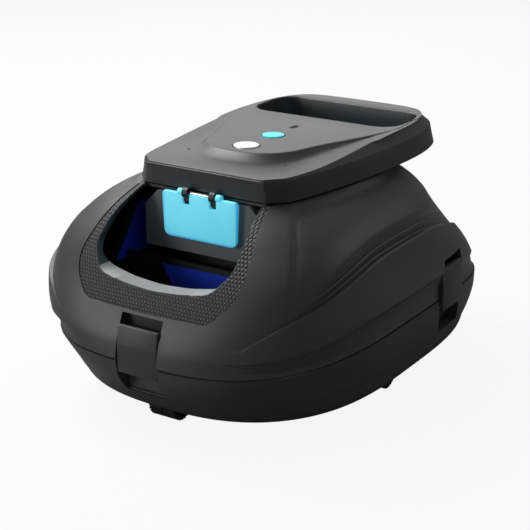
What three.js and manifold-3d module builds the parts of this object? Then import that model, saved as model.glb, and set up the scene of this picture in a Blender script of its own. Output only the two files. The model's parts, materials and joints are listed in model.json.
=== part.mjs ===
// Cordless robotic pool cleaner: a debris tray on four wheels, a lift-off upper shell with two
// windows, a top module with its controls and carry handle, and a sealed drive unit inside.
// Millimetres. +Z up, -Y is the front, the ground is z = 0, and x = y = 0 is the middle.
import * as THREE from "three";
import { mergeVertices } from "three/addons/utils/BufferGeometryUtils.js";
import Module from "manifold-3d";

const wasm = await Module();
wasm.setup();

// ---- Driving dimensions -------------------------------------------------------------------

const gap = 0.3; // between pieces that touch
const bodyWidth = 300;
const bodyLength = 404;
const wall = 3; // tray, shell and top module
const ringSegments = 60; // around the body's plan

const trayBottom = 10; // the floor's underside above the ground
const partingHeight = 66; // where the shell sits on the tray
const shellTop = 188; // upper face of the shell's flat roof

const headFront = 102 - bodyLength / 2; // front face of the top module
const headRear = bodyLength / 2 - 9;
const headThickness = 20; // at the front face
const platformRise = 7; // raised control panel above the module's front edge
const headSeam = 4; // thickness of the module's base plate

const slotWidth = 156; // finger slot of the carry handle
const slotDepth = 60;
const slotCentre = headRear - 63;

const buttonPlace = headFront + 66.4;
const buttonRadius = 11.7;
const buttonTravel = 1.5;
const capPlace = headFront + 110.9;
const capRadius = 10.4;
const lensPlace = headFront + 148;
const lensLength = 12;
const sensorSpread = 51.5;
const sensorPlace = headFront + 50;

const windowTopHalf = 62;
const windowMidHalf = 71;
const windowMidHeight = 147;
const windowLowHalf = 55;
const windowLowHeight = 130;
const windowSill = 124;

const latchWidth = 40.8;
const latchBottom = 54;
const latchTop = 96;
const latchCrease = 80;
const latchThickness = 6;
const latchRecess = 16; // how far the seats go in behind the latch
const latchPin = 1.6;
const latchSides = bodyLength / 2 - 110; // how far behind the middle the side latches are
const fingerRoom = 9; // above each latch

const wheelRadius = 14;
const endWheelWidth = 30;
const sideWheelWidth = 14;
const endWheelPlace = bodyLength / 2 - 48;
const sideWheelPlace = bodyWidth / 2 - 24;
const axleRadius = 2;
const runningClearance = 0.6;

const intakeWidth = 148;
const intakeDepth = 48;
const intakeHeight = 50;
const intakeWall = 2.4;
const intakeFlapThickness = 1.8;

const driveWidth = 116; // sealed drive unit
const driveLength = bodyLength - 232;
const driveBottom = 104;
const driveTop = 178;
const driveWall = 2.6;
const lidThickness = 4;
const sealThickness = 1.4;
const motorRadius = 12;
const motorLength = 34;
const shaftHeight = 163;
const shaftRadius = 1.6;
const impellerRadius = 13;
const impellerLength = 6;

const ductWidth = 124;
const ductBottom = 133;
const ductFace = 1.5 - headFront; // from the middle to the duct's outer face
const ductWall = 2.6;
const ductShoulder = 14; // cut off each upper corner, under the sloping shell
const outletWidth = 62;
const outletBottom = 151;
const outletTop = 180;

const flapWidth = 75;
const flapBottom = 147;
const flapThickness = 3.4;
const flapPin = 1.2;
const flapPinHeight = 188.5;
const flapPinPlace = ductFace + 4; // from the middle to the flap's pin
const hookSpread = 14;
const hookWidth = 5;

const filterSide = bodyWidth / 2 - 70; // inner face of each side screen
const filterTop = 171;
const filterLow = 112;
const filterPanel = 3;
const filterFoot = 62;
const lowPanelTop = 125;
const sideLow = bodyLength / 2 - 70; // half lengths of the side screens, at the bottom and the top
const sideHigh = bodyLength / 2 - 107;
const footRim = 6; // how far the foot reaches in from the side screens
const lowPanelPlace = ductFace + 2.5;

// ---- Plan outline of the body at each height ------------------------------------------------

// sideInset and endInset are how far the outline stands in from the body's width and length.
const shellStations = [
  { z: partingHeight + gap, sideInset: 4, endInset: 0, squareness: 3.6 },
  { z: 82, sideInset: 1.5, endInset: 3, squareness: 3.5 },
  { z: 100, sideInset: 0, endInset: 10, squareness: 3.2 },
  { z: 122, sideInset: 2, endInset: 21, squareness: 2.9 },
  { z: 142, sideInset: 6, endInset: 34, squareness: 2.65 },
  { z: 160, sideInset: 16, endInset: 49, squareness: 2.45 },
  { z: 175, sideInset: 32, endInset: 64, squareness: 2.35 },
  { z: shellTop, sideInset: 56, endInset: 82, squareness: 2.3 },
];
const trayStations = [
  { z: trayBottom, sideInset: 14, endInset: 18, squareness: 3.1 },
  { z: trayBottom + 5, sideInset: 8, endInset: 11, squareness: 3.2 },
  { z: trayBottom + 20, sideInset: 5, endInset: 4.5, squareness: 3.4 },
  { z: trayBottom + 38, sideInset: 4, endInset: 1, squareness: 3.5 },
  { z: partingHeight, sideInset: 4, endInset: 0, squareness: 3.6 },
];

// ---- Geometry helpers -----------------------------------------------------------------------

function solid(geometry) {
  const bare = geometry.clone();
  for (const key of Object.keys(bare.attributes)) {
    if (key !== "position") bare.deleteAttribute(key);
  }
  const merged = mergeVertices(bare, 1e-4);
  return new wasm.Manifold(
    new wasm.Mesh({
      numProp: 3,
      vertProperties: merged.attributes.position.array,
      triVerts: new Uint32Array(merged.index.array),
    }),
  );
}

function geometryOf(body) {
  const mesh = body.getMesh();
  const geometry = new THREE.BufferGeometry();
  geometry.setAttribute("position", new THREE.BufferAttribute(mesh.vertProperties, 3));
  geometry.setIndex(new THREE.BufferAttribute(mesh.triVerts, 1));
  const flat = geometry.toNonIndexed();
  flat.computeVertexNormals();
  return flat;
}

// A block between two corners.
function block(x0, x1, y0, y1, z0, z1) {
  const geometry = new THREE.BoxGeometry(x1 - x0, y1 - y0, z1 - z0);
  return solid(geometry.translate((x0 + x1) / 2, (y0 + y1) / 2, (z0 + z1) / 2));
}

// A round bar along one axis, centred at a point.
function bar(axis, radius, length, [x, y, z], segments = 16) {
  const geometry = new THREE.CylinderGeometry(radius, radius, length, segments);
  if (axis === "x") geometry.rotateZ(Math.PI / 2);
  if (axis === "z") geometry.rotateX(Math.PI / 2);
  return solid(geometry.translate(x, y, z));
}

// A turned piece on the Z axis from [radius, height] points, moved to a place.
function turned(points, [x, y, z], segments = 28) {
  const profile = points.map(([r, h]) => new THREE.Vector2(r, h));
  const geometry = new THREE.LatheGeometry(profile, segments);
  return solid(geometry.rotateX(Math.PI / 2).translate(x, y, z));
}

function shapeOf(points) {
  return new THREE.Shape(points.map(([u, v]) => new THREE.Vector2(u, v)));
}

// A flat outline in plan, extruded upwards.
function plate(shape, z0, z1, curveSegments = 6) {
  const settings = { depth: z1 - z0, bevelEnabled: false, curveSegments };
  return solid(new THREE.ExtrudeGeometry(shape, settings).translate(0, 0, z0));
}

// An outline of (x, z) points, extruded along Y.
function alongY(shape, y0, y1, curveSegments = 6) {
  const settings = { depth: y1 - y0, bevelEnabled: false, curveSegments };
  const geometry = new THREE.ExtrudeGeometry(shape, settings);
  return solid(geometry.rotateX(Math.PI / 2).translate(0, y1, 0));
}

// An outline of (y, z) points, extruded along X.
function alongX(shape, x0, x1, curveSegments = 6) {
  const settings = { depth: x1 - x0, bevelEnabled: false, curveSegments };
  const geometry = new THREE.ExtrudeGeometry(shape, settings);
  geometry.applyMatrix4(new THREE.Matrix4().set(0, 0, 1, x0, 1, 0, 0, 0, 0, 1, 0, 0, 0, 0, 0, 1));
  return solid(geometry);
}

function roundedRectangle(u0, u1, v0, v1, radius) {
  const shape = new THREE.Shape();
  shape.moveTo(u0 + radius, v0);
  shape.lineTo(u1 - radius, v0);
  shape.absarc(u1 - radius, v0 + radius, radius, -Math.PI / 2, 0);
  shape.lineTo(u1, v1 - radius);
  shape.absarc(u1 - radius, v1 - radius, radius, 0, Math.PI / 2);
  shape.lineTo(u0 + radius, v1);
  shape.absarc(u0 + radius, v1 - radius, radius, Math.PI / 2, Math.PI);
  shape.lineTo(u0, v0 + radius);
  shape.absarc(u0 + radius, v0 + radius, radius, Math.PI, 1.5 * Math.PI);
  return shape;
}

// A point of the body's plan at one station, at a given angle.
function planPoint(station, angle) {
  const c = Math.cos(angle);
  const s = Math.sin(angle);
  const halfWidth = bodyWidth / 2 - station.sideInset;
  const halfLength = bodyLength / 2 - station.endInset;
  const n = station.squareness;
  const sum = Math.abs(c / halfWidth) ** n + Math.abs(s / halfLength) ** n;
  const reach = sum ** (-1 / n);
  return [reach * c, reach * s];
}

// A solid with a flat top and bottom whose sides pass through the stations. The lathe makes the
// profile all round, and each point is then moved to the plan outline at its height.
function ringBody(stations) {
  const profile = stations.map((s) => new THREE.Vector2(bodyWidth / 2, s.z));
  profile.unshift(new THREE.Vector2(0, stations[0].z));
  profile.push(new THREE.Vector2(0, stations.at(-1).z));
  const geometry = new THREE.LatheGeometry(profile, ringSegments);
  const positions = geometry.attributes.position;
  for (let ring = 0; ring <= ringSegments; ring += 1) {
    const angle = ((ring % ringSegments) / ringSegments) * 2 * Math.PI;
    profile.forEach((point, row) => {
      const [x, y] = point.x > 0 ? planPoint(stations[row - 1], angle) : [0, 0];
      positions.setXYZ(ring * profile.length + row, x, y, point.y);
    });
  }
  return solid(geometry);
}

function insetStations(stations, inset, lift = 0) {
  return stations.map((s) => ({
    ...s,
    z: s.z + lift,
    sideInset: s.sideInset + inset,
    endInset: s.endInset + inset,
  }));
}

function turnedCopy(body, quarterTurns, [x, y]) {
  return body.rotate([0, 0, 90 * quarterTurns]).translate([x, y, 0]);
}

// ---- Assembly -------------------------------------------------------------------------------

const cleaner = new THREE.Group();
cleaner.name = "pool_cleaner";

const finishes = {
  shell: { color: 0x2f3033, roughness: 0.62, metalness: 0 },
  tray: { color: 0x2a2b2e, roughness: 0.66, metalness: 0 },
  head: { color: 0x333437, roughness: 0.58, metalness: 0 },
  blackPlastic: { color: 0x131416, roughness: 0.5, metalness: 0 },
  greyPlastic: { color: 0x77797d, roughness: 0.5, metalness: 0 },
  flap: { color: 0x73e1f7, roughness: 0.35, metalness: 0 },
  cyan: { color: 0x32dce1, roughness: 0.4, metalness: 0 },
  silver: { color: 0xe1e1e1, roughness: 0.3, metalness: 0.6 },
  rubber: { color: 0x0d0d0e, roughness: 0.85, metalness: 0 },
  steel: { color: 0xb4b6b8, roughness: 0.3, metalness: 1 },
  screen: { color: 0x0a1f8f, roughness: 0.6, metalness: 0 },
  lens: { color: 0x08090a, roughness: 0.1, metalness: 0 },
  battery: { color: 0x2b4a6b, roughness: 0.55, metalness: 0 },
  board: { color: 0x14532d, roughness: 0.5, metalness: 0 },
};

function addPiece(name, body, finish) {
  const material = new THREE.MeshStandardMaterial(finishes[finish]);
  const mesh = new THREE.Mesh(geometryOf(body), material);
  mesh.name = name;
  cleaner.add(mesh);
}

// ---- Latch seats, shared by the tray, the shell and the latches -------------------------------

// Each latch is drawn at the front, with its outer face on y = 0, and then turned into place.
const latchSink = 1; // of the side latches' faces below the widest line of the body
const latchPlaces = [
  { name: "front", turns: 0, at: [0, -bodyLength / 2 + 2] },
  { name: "right", turns: 1, at: [bodyWidth / 2 - latchSink, latchSides] },
  { name: "rear", turns: 2, at: [0, bodyLength / 2 - 2] },
  { name: "left", turns: 3, at: [-bodyWidth / 2 + latchSink, latchSides] },
];
const latchPinHeight = latchBottom + 4.5;
const latchPinDepth = 4.2;
const cheek = 6;
const pinReach = latchWidth / 2 + cheek - 2;

function latchBlock(z0, z1) {
  const half = latchWidth / 2 + cheek;
  return block(-half, half, -8, latchRecess + wall, z0, z1);
}

function latchSeat(z0, z1) {
  const half = latchWidth / 2 + runningClearance;
  return block(-half, half, -20, latchRecess, z0, z1);
}

// ---- Tray -----------------------------------------------------------------------------------

const wheelPlaces = [
  { name: "front", x: 0, y: -endWheelPlace, width: endWheelWidth },
  { name: "rear", x: 0, y: endWheelPlace, width: endWheelWidth },
  { name: "left", x: -sideWheelPlace, y: 0, width: sideWheelWidth },
  { name: "right", x: sideWheelPlace, y: 0, width: sideWheelWidth },
];
const wellWall = 2.6;
const wellReach = wheelRadius + 2;
const wellTop = 2 * wheelRadius + 2;
const trayFloor = trayBottom + wall;
const pillarSpread = [filterSide - 2, sideLow - 32];
const pillarRadius = 5; // posts that carry the filter
const floorInset = 4; // of the tray's inner floor edge from its outer one
const innerLift = 2;

function wheelWell(place, extra, top) {
  const halfWidth = place.width / 2 + runningClearance + extra;
  const halfLength = wellReach + extra;
  return block(
    place.x - halfWidth,
    place.x + halfWidth,
    place.y - halfLength,
    place.y + halfLength,
    -5,
    top,
  );
}

function debrisTray() {
  const outer = ringBody(trayStations);
  const floorStation = { ...insetStations(trayStations, floorInset)[0], z: trayFloor };
  const inner = ringBody([floorStation, ...insetStations(trayStations.slice(1), wall, innerLift)]);
  let tray = outer.subtract(inner);
  for (const place of wheelPlaces) {
    tray = tray.add(wheelWell(place, wellWall, wellTop + wellWall).intersect(outer));
  }
  for (const place of latchPlaces) {
    const boss = turnedCopy(latchBlock(latchBottom - 24, partingHeight), place.turns, place.at);
    tray = tray.add(boss.intersect(outer));
  }
  for (const x of [-pillarSpread[0], pillarSpread[0]]) {
    for (const y of [-pillarSpread[1], pillarSpread[1]]) {
      const middle = (filterFoot + trayFloor) / 2 - gap;
      tray = tray.add(bar("z", pillarRadius, filterFoot - trayFloor, [x, y, middle], 16));
    }
  }
  const intakeHalf = intakeWidth / 2;
  tray = tray.subtract(block(-intakeHalf, intakeHalf, -intakeDepth / 2, intakeDepth / 2, 0, 30));
  for (const place of wheelPlaces) {
    tray = tray.subtract(wheelWell(place, 0, wellTop));
    const axleLength = place.width + 2 * (wellWall + 3);
    tray = tray.subtract(
      bar("x", axleRadius + gap, axleLength, [place.x, place.y, wheelRadius], 16),
    );
  }
  for (const place of latchPlaces) {
    const seat = latchSeat(latchBottom - 20, partingHeight + 1);
    const pinCentre = [0, latchPinDepth, latchPinHeight];
    const pinHole = bar("x", latchPin + gap, 2 * pinReach + 2 * gap, pinCentre, 12);
    tray = tray.subtract(turnedCopy(seat.add(pinHole), place.turns, place.at));
  }
  return tray;
}

function wheel(place) {
  const half = place.width / 2;
  const profile = [
    [axleRadius + gap, -half],
    [wheelRadius - 1.5, -half],
    [wheelRadius, -half + 1.5],
    [wheelRadius, half - 1.5],
    [wheelRadius - 1.5, half],
    [axleRadius + gap, half],
    [axleRadius + gap, -half],
  ];
  const body = turned(profile, [0, 0, 0], 28);
  return body.rotate([0, 90, 0]).translate([place.x, place.y, wheelRadius]);
}

function latch() {
  const half = latchWidth / 2;
  const outline = [
    [0, latchBottom],
    [0, latchCrease],
    [2.6, latchTop],
    [2.6 + 4, latchTop],
    [latchThickness + 0.6, latchCrease],
    [latchThickness + 0.6, latchBottom + 1],
    [latchThickness, latchBottom],
  ];
  const body = alongX(shapeOf(outline), -half, half);
  const hole = bar("x", latchPin + gap, latchWidth + 4, [0, latchPinDepth, latchPinHeight], 12);
  return body.subtract(hole);
}

function intakeDuct() {
  const halfWidth = intakeWidth / 2 - gap;
  const halfDepth = intakeDepth / 2 - gap;
  const outer = block(-halfWidth, halfWidth, -halfDepth, halfDepth, trayBottom, intakeHeight);
  const flange = block(
    -halfWidth - 5,
    halfWidth + 5,
    -halfDepth - 5,
    halfDepth + 5,
    trayFloor + gap,
    trayFloor + 3,
  );
  const inner = block(
    -halfWidth + intakeWall,
    halfWidth - intakeWall,
    -halfDepth + intakeWall,
    halfDepth - intakeWall,
    0,
    intakeHeight + 5,
  );
  return outer.add(flange).subtract(inner);
}

// A rubber flap that lies on the duct's rim, with its bead along the long edge.
function intakeFlap() {
  const halfWidth = intakeWidth / 2 - 2;
  const bead = intakeFlapThickness * 0.9;
  const rim = intakeHeight + gap;
  const leaf = block(-halfWidth, halfWidth, -intakeDepth / 2, -0.5, rim, rim + intakeFlapThickness);
  return leaf.add(bar("x", bead, 2 * halfWidth, [0, -intakeDepth / 2, rim + bead], 12));
}

function brushStrip() {
  const y = -intakeDepth / 2 - 9;
  const holder = block(-intakeWidth / 2, intakeWidth / 2, y - 4, y + 4, trayBottom - 3, trayBottom - gap);
  const blade = block(-intakeWidth / 2 + 2, intakeWidth / 2 - 2, y - 1, y + 1, 2, trayBottom - 2);
  return holder.add(blade);
}

function addTray() {
  addPiece("debris_tray", debrisTray(), "tray");
  for (const place of wheelPlaces) {
    const axleLength = place.width + 2 * (wellWall + 2.5);
    addPiece("wheel_" + place.name, wheel(place), "rubber");
    addPiece(
      "axle_" + place.name,
      bar("x", axleRadius, axleLength, [place.x, place.y, wheelRadius], 16),
      "steel",
    );
  }
  for (const place of latchPlaces) {
    const pin = bar("x", latchPin, 2 * pinReach, [0, latchPinDepth, latchPinHeight], 12);
    addPiece("latch_" + place.name, turnedCopy(latch(), place.turns, place.at), "tray");
    addPiece("latch_pin_" + place.name, turnedCopy(pin, place.turns, place.at), "steel");
  }
  addPiece("intake_duct", intakeDuct(), "blackPlastic");
  addPiece("intake_flap_front", intakeFlap(), "rubber");
  addPiece("intake_flap_rear", intakeFlap().mirror([0, 1, 0]), "rubber");
  addPiece("brush_strip_front", brushStrip(), "rubber");
  addPiece("brush_strip_rear", brushStrip().mirror([0, 1, 0]), "rubber");
}

// ---- Upper shell ------------------------------------------------------------------------------

const shellInset = wall * 1.25; // level distance through the sloping wall

function windowCut() {
  const outline = shapeOf([
    [-windowTopHalf, shellTop + 2],
    [-windowMidHalf, windowMidHeight],
    [-windowLowHalf, windowLowHeight],
    [-windowLowHalf * 0.5, windowSill + 1],
    [0, windowSill],
    [windowLowHalf * 0.5, windowSill + 1],
    [windowLowHalf, windowLowHeight],
    [windowMidHalf, windowMidHeight],
    [windowTopHalf, shellTop + 2],
  ]);
  return alongY(outline, -bodyLength / 2 - 5, headFront + 1.5);
}

function upperShell() {
  const outer = ringBody(shellStations);
  const innerStations = insetStations(shellStations, shellInset);
  innerStations[0].z = partingHeight - 2;
  innerStations.at(-1).z = shellTop - wall;
  let shell = outer.subtract(ringBody(innerStations));
  const seatTop = latchTop + fingerRoom;
  for (const place of latchPlaces) {
    const boss = turnedCopy(latchBlock(partingHeight, seatTop + wall), place.turns, place.at);
    shell = shell.add(boss.intersect(outer));
  }
  for (const place of latchPlaces) {
    const seat = latchSeat(partingHeight - 4, seatTop);
    shell = shell.subtract(turnedCopy(seat, place.turns, place.at));
  }
  const opening = windowCut();
  shell = shell.subtract(opening).subtract(opening.mirror([0, 1, 0]));
  return shell;
}

// ---- Nozzles: duct, flap, hooks ---------------------------------------------------------------

// Everything here is drawn at the front and mirrored for the rear.
function ductOutline(half, bottom, top) {
  return shapeOf([
    [-half, bottom],
    [half, bottom],
    [half, top - ductShoulder],
    [half - ductShoulder, top],
    [-half + ductShoulder, top],
    [-half, top - ductShoulder],
  ]);
}

function nozzleDuct() {
  const half = ductWidth / 2;
  const back = driveLength / 2 + gap;
  const top = shellTop - wall - gap;
  const outer = alongY(ductOutline(half, ductBottom, top), -ductFace, -back);
  const room = alongY(ductOutline(half - ductWall, 0, top - ductWall), -ductFace + ductWall, 0);
  const outlet = alongY(
    roundedRectangle(-outletWidth / 2, outletWidth / 2, outletBottom, outletTop, 5),
    -ductFace - 2,
    -ductFace + ductWall + 2,
    4,
  );
  return outer.subtract(room).subtract(outlet);
}

const notchDepth = 9.6;
const lugWidth = 5.4;
const lugRadius = 3.2;
const lugInner = hookSpread + hookWidth / 2 + gap * 2;

function flap() {
  const half = flapWidth / 2;
  const top = flapPinHeight - 0.8;
  const y0 = -flapPinPlace - flapThickness / 2;
  const y1 = -flapPinPlace + flapThickness / 2;
  let body = alongY(roundedRectangle(-half, half, flapBottom, top, 6), y0, y1, 5);
  for (const side of [-1, 1]) {
    const notchHalf = hookWidth / 2 + gap * 2;
    const x = side * hookSpread;
    const lugX = side * (lugInner + lugWidth / 2);
    const low = flapPinHeight - notchDepth;
    body = body.subtract(block(x - notchHalf, x + notchHalf, y0 - 1, y1 + 1, low, top + 1));
    body = body.add(bar("x", lugRadius, lugWidth, [lugX, -flapPinPlace, flapPinHeight], 20));
  }
  const inner = hookSpread - hookWidth / 2 - gap * 2;
  const relief = bar("x", flapPin + 0.9, 2 * inner + 1, [0, -flapPinPlace, flapPinHeight], 12);
  const hole = bar("x", flapPin + gap, flapWidth, [0, -flapPinPlace, flapPinHeight], 12);
  const holeSpan = lugInner + lugWidth + 1;
  const limit = block(-holeSpan, holeSpan, y0 - 4, y1 + 4, flapPinHeight - 6, flapPinHeight + 6);
  return body.subtract(relief).subtract(hole.intersect(limit));
}

const hookRadius = 4.6;

// Two hooks on one bar that is fixed along the top edge of the duct's face.
function hookBracket() {
  const front = -ductFace - gap;
  const barBottom = flapPinHeight - 9;
  const barTop = flapPinHeight - 4.4;
  const barHalf = hookSpread + 6;
  let body = block(-barHalf, barHalf, front - 1.4, front, barBottom, barTop);
  for (const side of [-1, 1]) {
    const x = side * hookSpread;
    const x0 = x - hookWidth / 2;
    const x1 = x + hookWidth / 2;
    const eye = bar("x", hookRadius, hookWidth, [x, -flapPinPlace, flapPinHeight], 24);
    const stem = block(x0, x1, -flapPinPlace - 1, front, barBottom + 1, flapPinHeight - 2);
    body = body.add(eye).add(stem);
    const mouth = block(x0 - 1, x1 + 1, -flapPinPlace + 1.9, headFront + 5, flapPinHeight - 0.6, 200);
    body = body.subtract(mouth);
  }
  return body.subtract(bar("x", flapPin + gap, 60, [0, -flapPinPlace, flapPinHeight], 12));
}

function addNozzle(end, mirrored) {
  const place = (body) => (mirrored ? body.mirror([0, 1, 0]) : body);
  const pinLength = 2 * (lugInner + lugWidth) - 0.6;
  const pin = bar("x", flapPin, pinLength, [0, -flapPinPlace, flapPinHeight], 12);
  addPiece("nozzle_duct_" + end, place(nozzleDuct()), "greyPlastic");
  addPiece("nozzle_flap_" + end, place(flap()), "flap");
  addPiece("flap_hooks_" + end, place(hookBracket()), "blackPlastic");
  addPiece("flap_pin_" + end, place(pin), "steel");
}

// ---- Sealed drive unit --------------------------------------------------------------------------

function driveOutline(inset) {
  const w = driveWidth / 2 - inset;
  const l = driveLength / 2 - inset;
  return roundedRectangle(-w, w, -l, l, 10 - inset);
}

function driveHousing() {
  const outer = plate(driveOutline(0), driveBottom, driveTop, 4);
  const room = plate(driveOutline(driveWall), driveBottom + driveWall, driveTop + 1, 4);
  let housing = outer.subtract(room);
  const saddleTop = shaftHeight - motorRadius - gap;
  for (const side of [-1, 1]) {
    const y = side * (driveLength / 2 - driveWall - 20);
    housing = housing.add(block(-7, 7, y - 11, y + 11, driveBottom + 1, saddleTop));
    const bore = bar("y", shaftRadius + gap, 20, [0, (side * driveLength) / 2, shaftHeight], 16);
    housing = housing.subtract(bore);
  }
  return housing;
}

function driveSeal() {
  const z0 = driveTop + gap;
  const ring = plate(driveOutline(0.3), z0, z0 + sealThickness, 4);
  return ring.subtract(plate(driveOutline(driveWall), z0 - 1, z0 + sealThickness + 1, 4));
}

function driveLid() {
  const z0 = driveTop + gap + sealThickness + gap;
  return plate(driveOutline(0), z0, Math.min(z0 + lidThickness, shellTop - wall - gap), 4);
}

function batteryPack() {
  const z0 = driveBottom + driveWall + gap;
  const cellRadius = 9.2;
  let pack = block(-50, 50, -38, 38, z0, z0 + 4);
  for (let i = 0; i < 5; i += 1) {
    const x = (i - 2) * 2 * (cellRadius - 0.2);
    pack = pack.add(bar("y", cellRadius, 72, [x, 0, z0 + 2 + cellRadius], 20));
  }
  return pack;
}

const boardHeight = 140;

function circuitBoard() {
  let board = block(-50, 50, -34, 34, boardHeight, boardHeight + 1.6);
  const legTop = boardHeight + 0.5;
  const legBottom = driveBottom + driveWall + gap + 4 + gap;
  for (const x of [-48, 48]) {
    for (const y of [-30, 30]) {
      board = board.add(bar("z", 1.2, legTop - legBottom, [x, y, (legTop + legBottom) / 2], 10));
    }
  }
  const parts = [
    [-30, -12, -20, 0, 5],
    [0, 14, -8, 12, 3],
    [22, 38, -24, -4, 7],
    [-24, -8, 10, 26, 9],
  ];
  for (const [x0, x1, y0, y1, tall] of parts) {
    board = board.add(block(x0, x1, y0, y1, boardHeight + 1, boardHeight + 1.6 + tall));
  }
  return board;
}

function motor(side) {
  const inner = driveLength / 2 - driveWall - 2;
  const centre = side * (inner - motorLength / 2);
  const can = bar("y", motorRadius, motorLength, [0, centre, shaftHeight], 28);
  const boss = bar("y", 5, 1.4, [0, side * (inner + 0.6), shaftHeight], 16);
  const bore = bar("y", shaftRadius + gap, motorLength + 12, [0, centre + side * 8, shaftHeight], 16);
  return can.add(boss).subtract(bore);
}

function motorShaft(side) {
  const from = driveLength / 2 - driveWall - 26;
  const to = driveLength / 2 + 10;
  return bar("y", shaftRadius, to - from, [0, (side * (from + to)) / 2, shaftHeight], 16);
}

function impeller(side) {
  const y = side * (driveLength / 2 + gap + 2.4 + impellerLength / 2);
  let body = bar("y", 4, impellerLength, [0, y, shaftHeight], 20);
  const blades = 5;
  for (let i = 0; i < blades; i += 1) {
    const blade = new THREE.BoxGeometry(impellerRadius - 2, impellerLength * 0.62, 1.4);
    blade.rotateX(0.5);
    blade.translate(impellerRadius / 2 + 1, 0, 0);
    blade.rotateY((i / blades) * 2 * Math.PI);
    blade.translate(0, y, shaftHeight);
    body = body.add(solid(blade));
  }
  const bore = bar("y", shaftRadius + gap, impellerLength + 2, [0, y, shaftHeight], 16);
  return body.subtract(bore);
}

function addDrive() {
  addPiece("drive_housing", driveHousing(), "blackPlastic");
  addPiece("drive_seal", driveSeal(), "rubber");
  addPiece("drive_lid", driveLid(), "blackPlastic");
  addPiece("battery_pack", batteryPack(), "battery");
  addPiece("circuit_board", circuitBoard(), "board");
  for (const [end, side] of [["front", -1], ["rear", 1]]) {
    addPiece("motor_" + end, motor(side), "steel");
    addPiece("motor_shaft_" + end, motorShaft(side), "steel");
    addPiece("impeller_" + end, impeller(side), "cyan");
  }
}

// ---- Filter -----------------------------------------------------------------------------------

const lowScreenTop = 42;
const lowScreenFoot = 16;
const lowScreenHeight = 120;

function sideOutline(inset) {
  return shapeOf([
    [-sideLow + inset * 1.4, filterLow + inset],
    [sideLow - inset * 1.4, filterLow + inset],
    [sideHigh - inset * 1.2, filterTop - inset],
    [-sideHigh + inset * 1.2, filterTop - inset],
  ]);
}

function lowOutline(clear) {
  return shapeOf([
    [-lowScreenFoot - clear, filterFoot + 12 - clear],
    [lowScreenFoot + clear, filterFoot + 12 - clear],
    [lowScreenTop + clear, lowScreenHeight + clear],
    [-lowScreenTop - clear, lowScreenHeight + clear],
  ]);
}

function filterFrame() {
  const outerX = filterSide + filterPanel;
  const foot = plate(roundedRectangle(-outerX, outerX, -sideLow, sideLow, 12), filterFoot, filterFoot + 4);
  const footRoom = plate(
    roundedRectangle(-filterSide + footRim, filterSide - footRim, -sideLow + 12, sideLow - 12, 6),
    filterFoot - 1,
    filterFoot + 5,
  );
  let frame = foot.subtract(footRoom);
  for (const side of [-1, 1]) {
    const x0 = side > 0 ? filterSide : -outerX;
    const low = block(x0, x0 + filterPanel, -sideLow + 4, sideLow - 4, filterFoot + 2, filterLow + 1);
    const high = alongX(sideOutline(0), x0, x0 + filterPanel);
    frame = frame.add(low).add(high);
    frame = frame.subtract(alongX(sideOutline(6), x0 - 1, x0 + filterPanel + 1));
  }
  for (const side of [-1, 1]) {
    const y0 = side > 0 ? lowPanelPlace : -lowPanelPlace - filterPanel;
    const panel = block(-filterSide - 0.5, filterSide + 0.5, y0, y0 + filterPanel, filterFoot + 2, lowPanelTop);
    frame = frame.add(panel);
    frame = frame.subtract(alongY(lowOutline(0), y0 - 1, y0 + filterPanel + 1));
  }
  return frame;
}

function addFilter() {
  addPiece("filter_frame", filterFrame(), "blackPlastic");
  for (const [end, side] of [["left", -1], ["right", 1]]) {
    const x0 = side > 0 ? filterSide + 0.7 : -filterSide - filterPanel + 0.7;
    const screen = alongX(sideOutline(6 + gap), x0, x0 + filterPanel - 1.4);
    addPiece("filter_screen_" + end, screen, "screen");
  }
  for (const [end, side] of [["front", -1], ["rear", 1]]) {
    const y0 = side > 0 ? lowPanelPlace + 0.7 : -lowPanelPlace - filterPanel + 0.7;
    const screen = alongY(lowOutline(-gap), y0, y0 + filterPanel - 1.4);
    addPiece("filter_screen_" + end, screen, "screen");
  }
}

// ---- Top module ---------------------------------------------------------------------------------

const headBottom = shellTop + gap + 1;
const headEdge = headBottom + headThickness;
const platformTop = headEdge + platformRise;

// Half widths along the module, from the front face to the handle.
const headSides = [
  [63, headFront],
  [77, headFront + 14],
  [88, headFront + 58],
  [96, headFront + 114],
  [100, headFront + 175],
  [98, headRear - 67],
  [88, headRear - 29],
  [70, headRear - 8],
  [46, headRear - 1],
];

function headOutline(inset) {
  const right = headSides.map(([x, y], i) => {
    const end = i === 0 ? inset : i >= headSides.length - 2 ? -inset : 0;
    return [x - inset, y + end];
  });
  const left = right.map(([x, y]) => [-x, y]).reverse();
  return shapeOf([...right, [0, headRear - inset], ...left]);
}

function platformOutline() {
  const front = headFront + 46;
  const waist = headFront + 90;
  const shape = new THREE.Shape();
  shape.moveTo(88, headRear - 32);
  shape.quadraticCurveTo(82, headRear - 10, 50, headRear - 8);
  shape.lineTo(-50, headRear - 8);
  shape.quadraticCurveTo(-82, headRear - 10, -88, headRear - 32);
  shape.bezierCurveTo(-92, waist + 80, -60, waist + 40, -50, waist);
  shape.bezierCurveTo(-44, front + 10, -26, front, 0, front);
  shape.bezierCurveTo(26, front, 44, front + 10, 50, waist);
  shape.bezierCurveTo(60, waist + 40, 92, waist + 80, 88, headRear - 32);
  return shape;
}

function slotOutline(extra) {
  const halfWidth = slotWidth / 2 + extra;
  const halfDepth = slotDepth / 2 + extra;
  return roundedRectangle(
    -halfWidth,
    halfWidth,
    slotCentre - halfDepth,
    slotCentre + halfDepth,
    20 + extra,
  );
}

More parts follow.
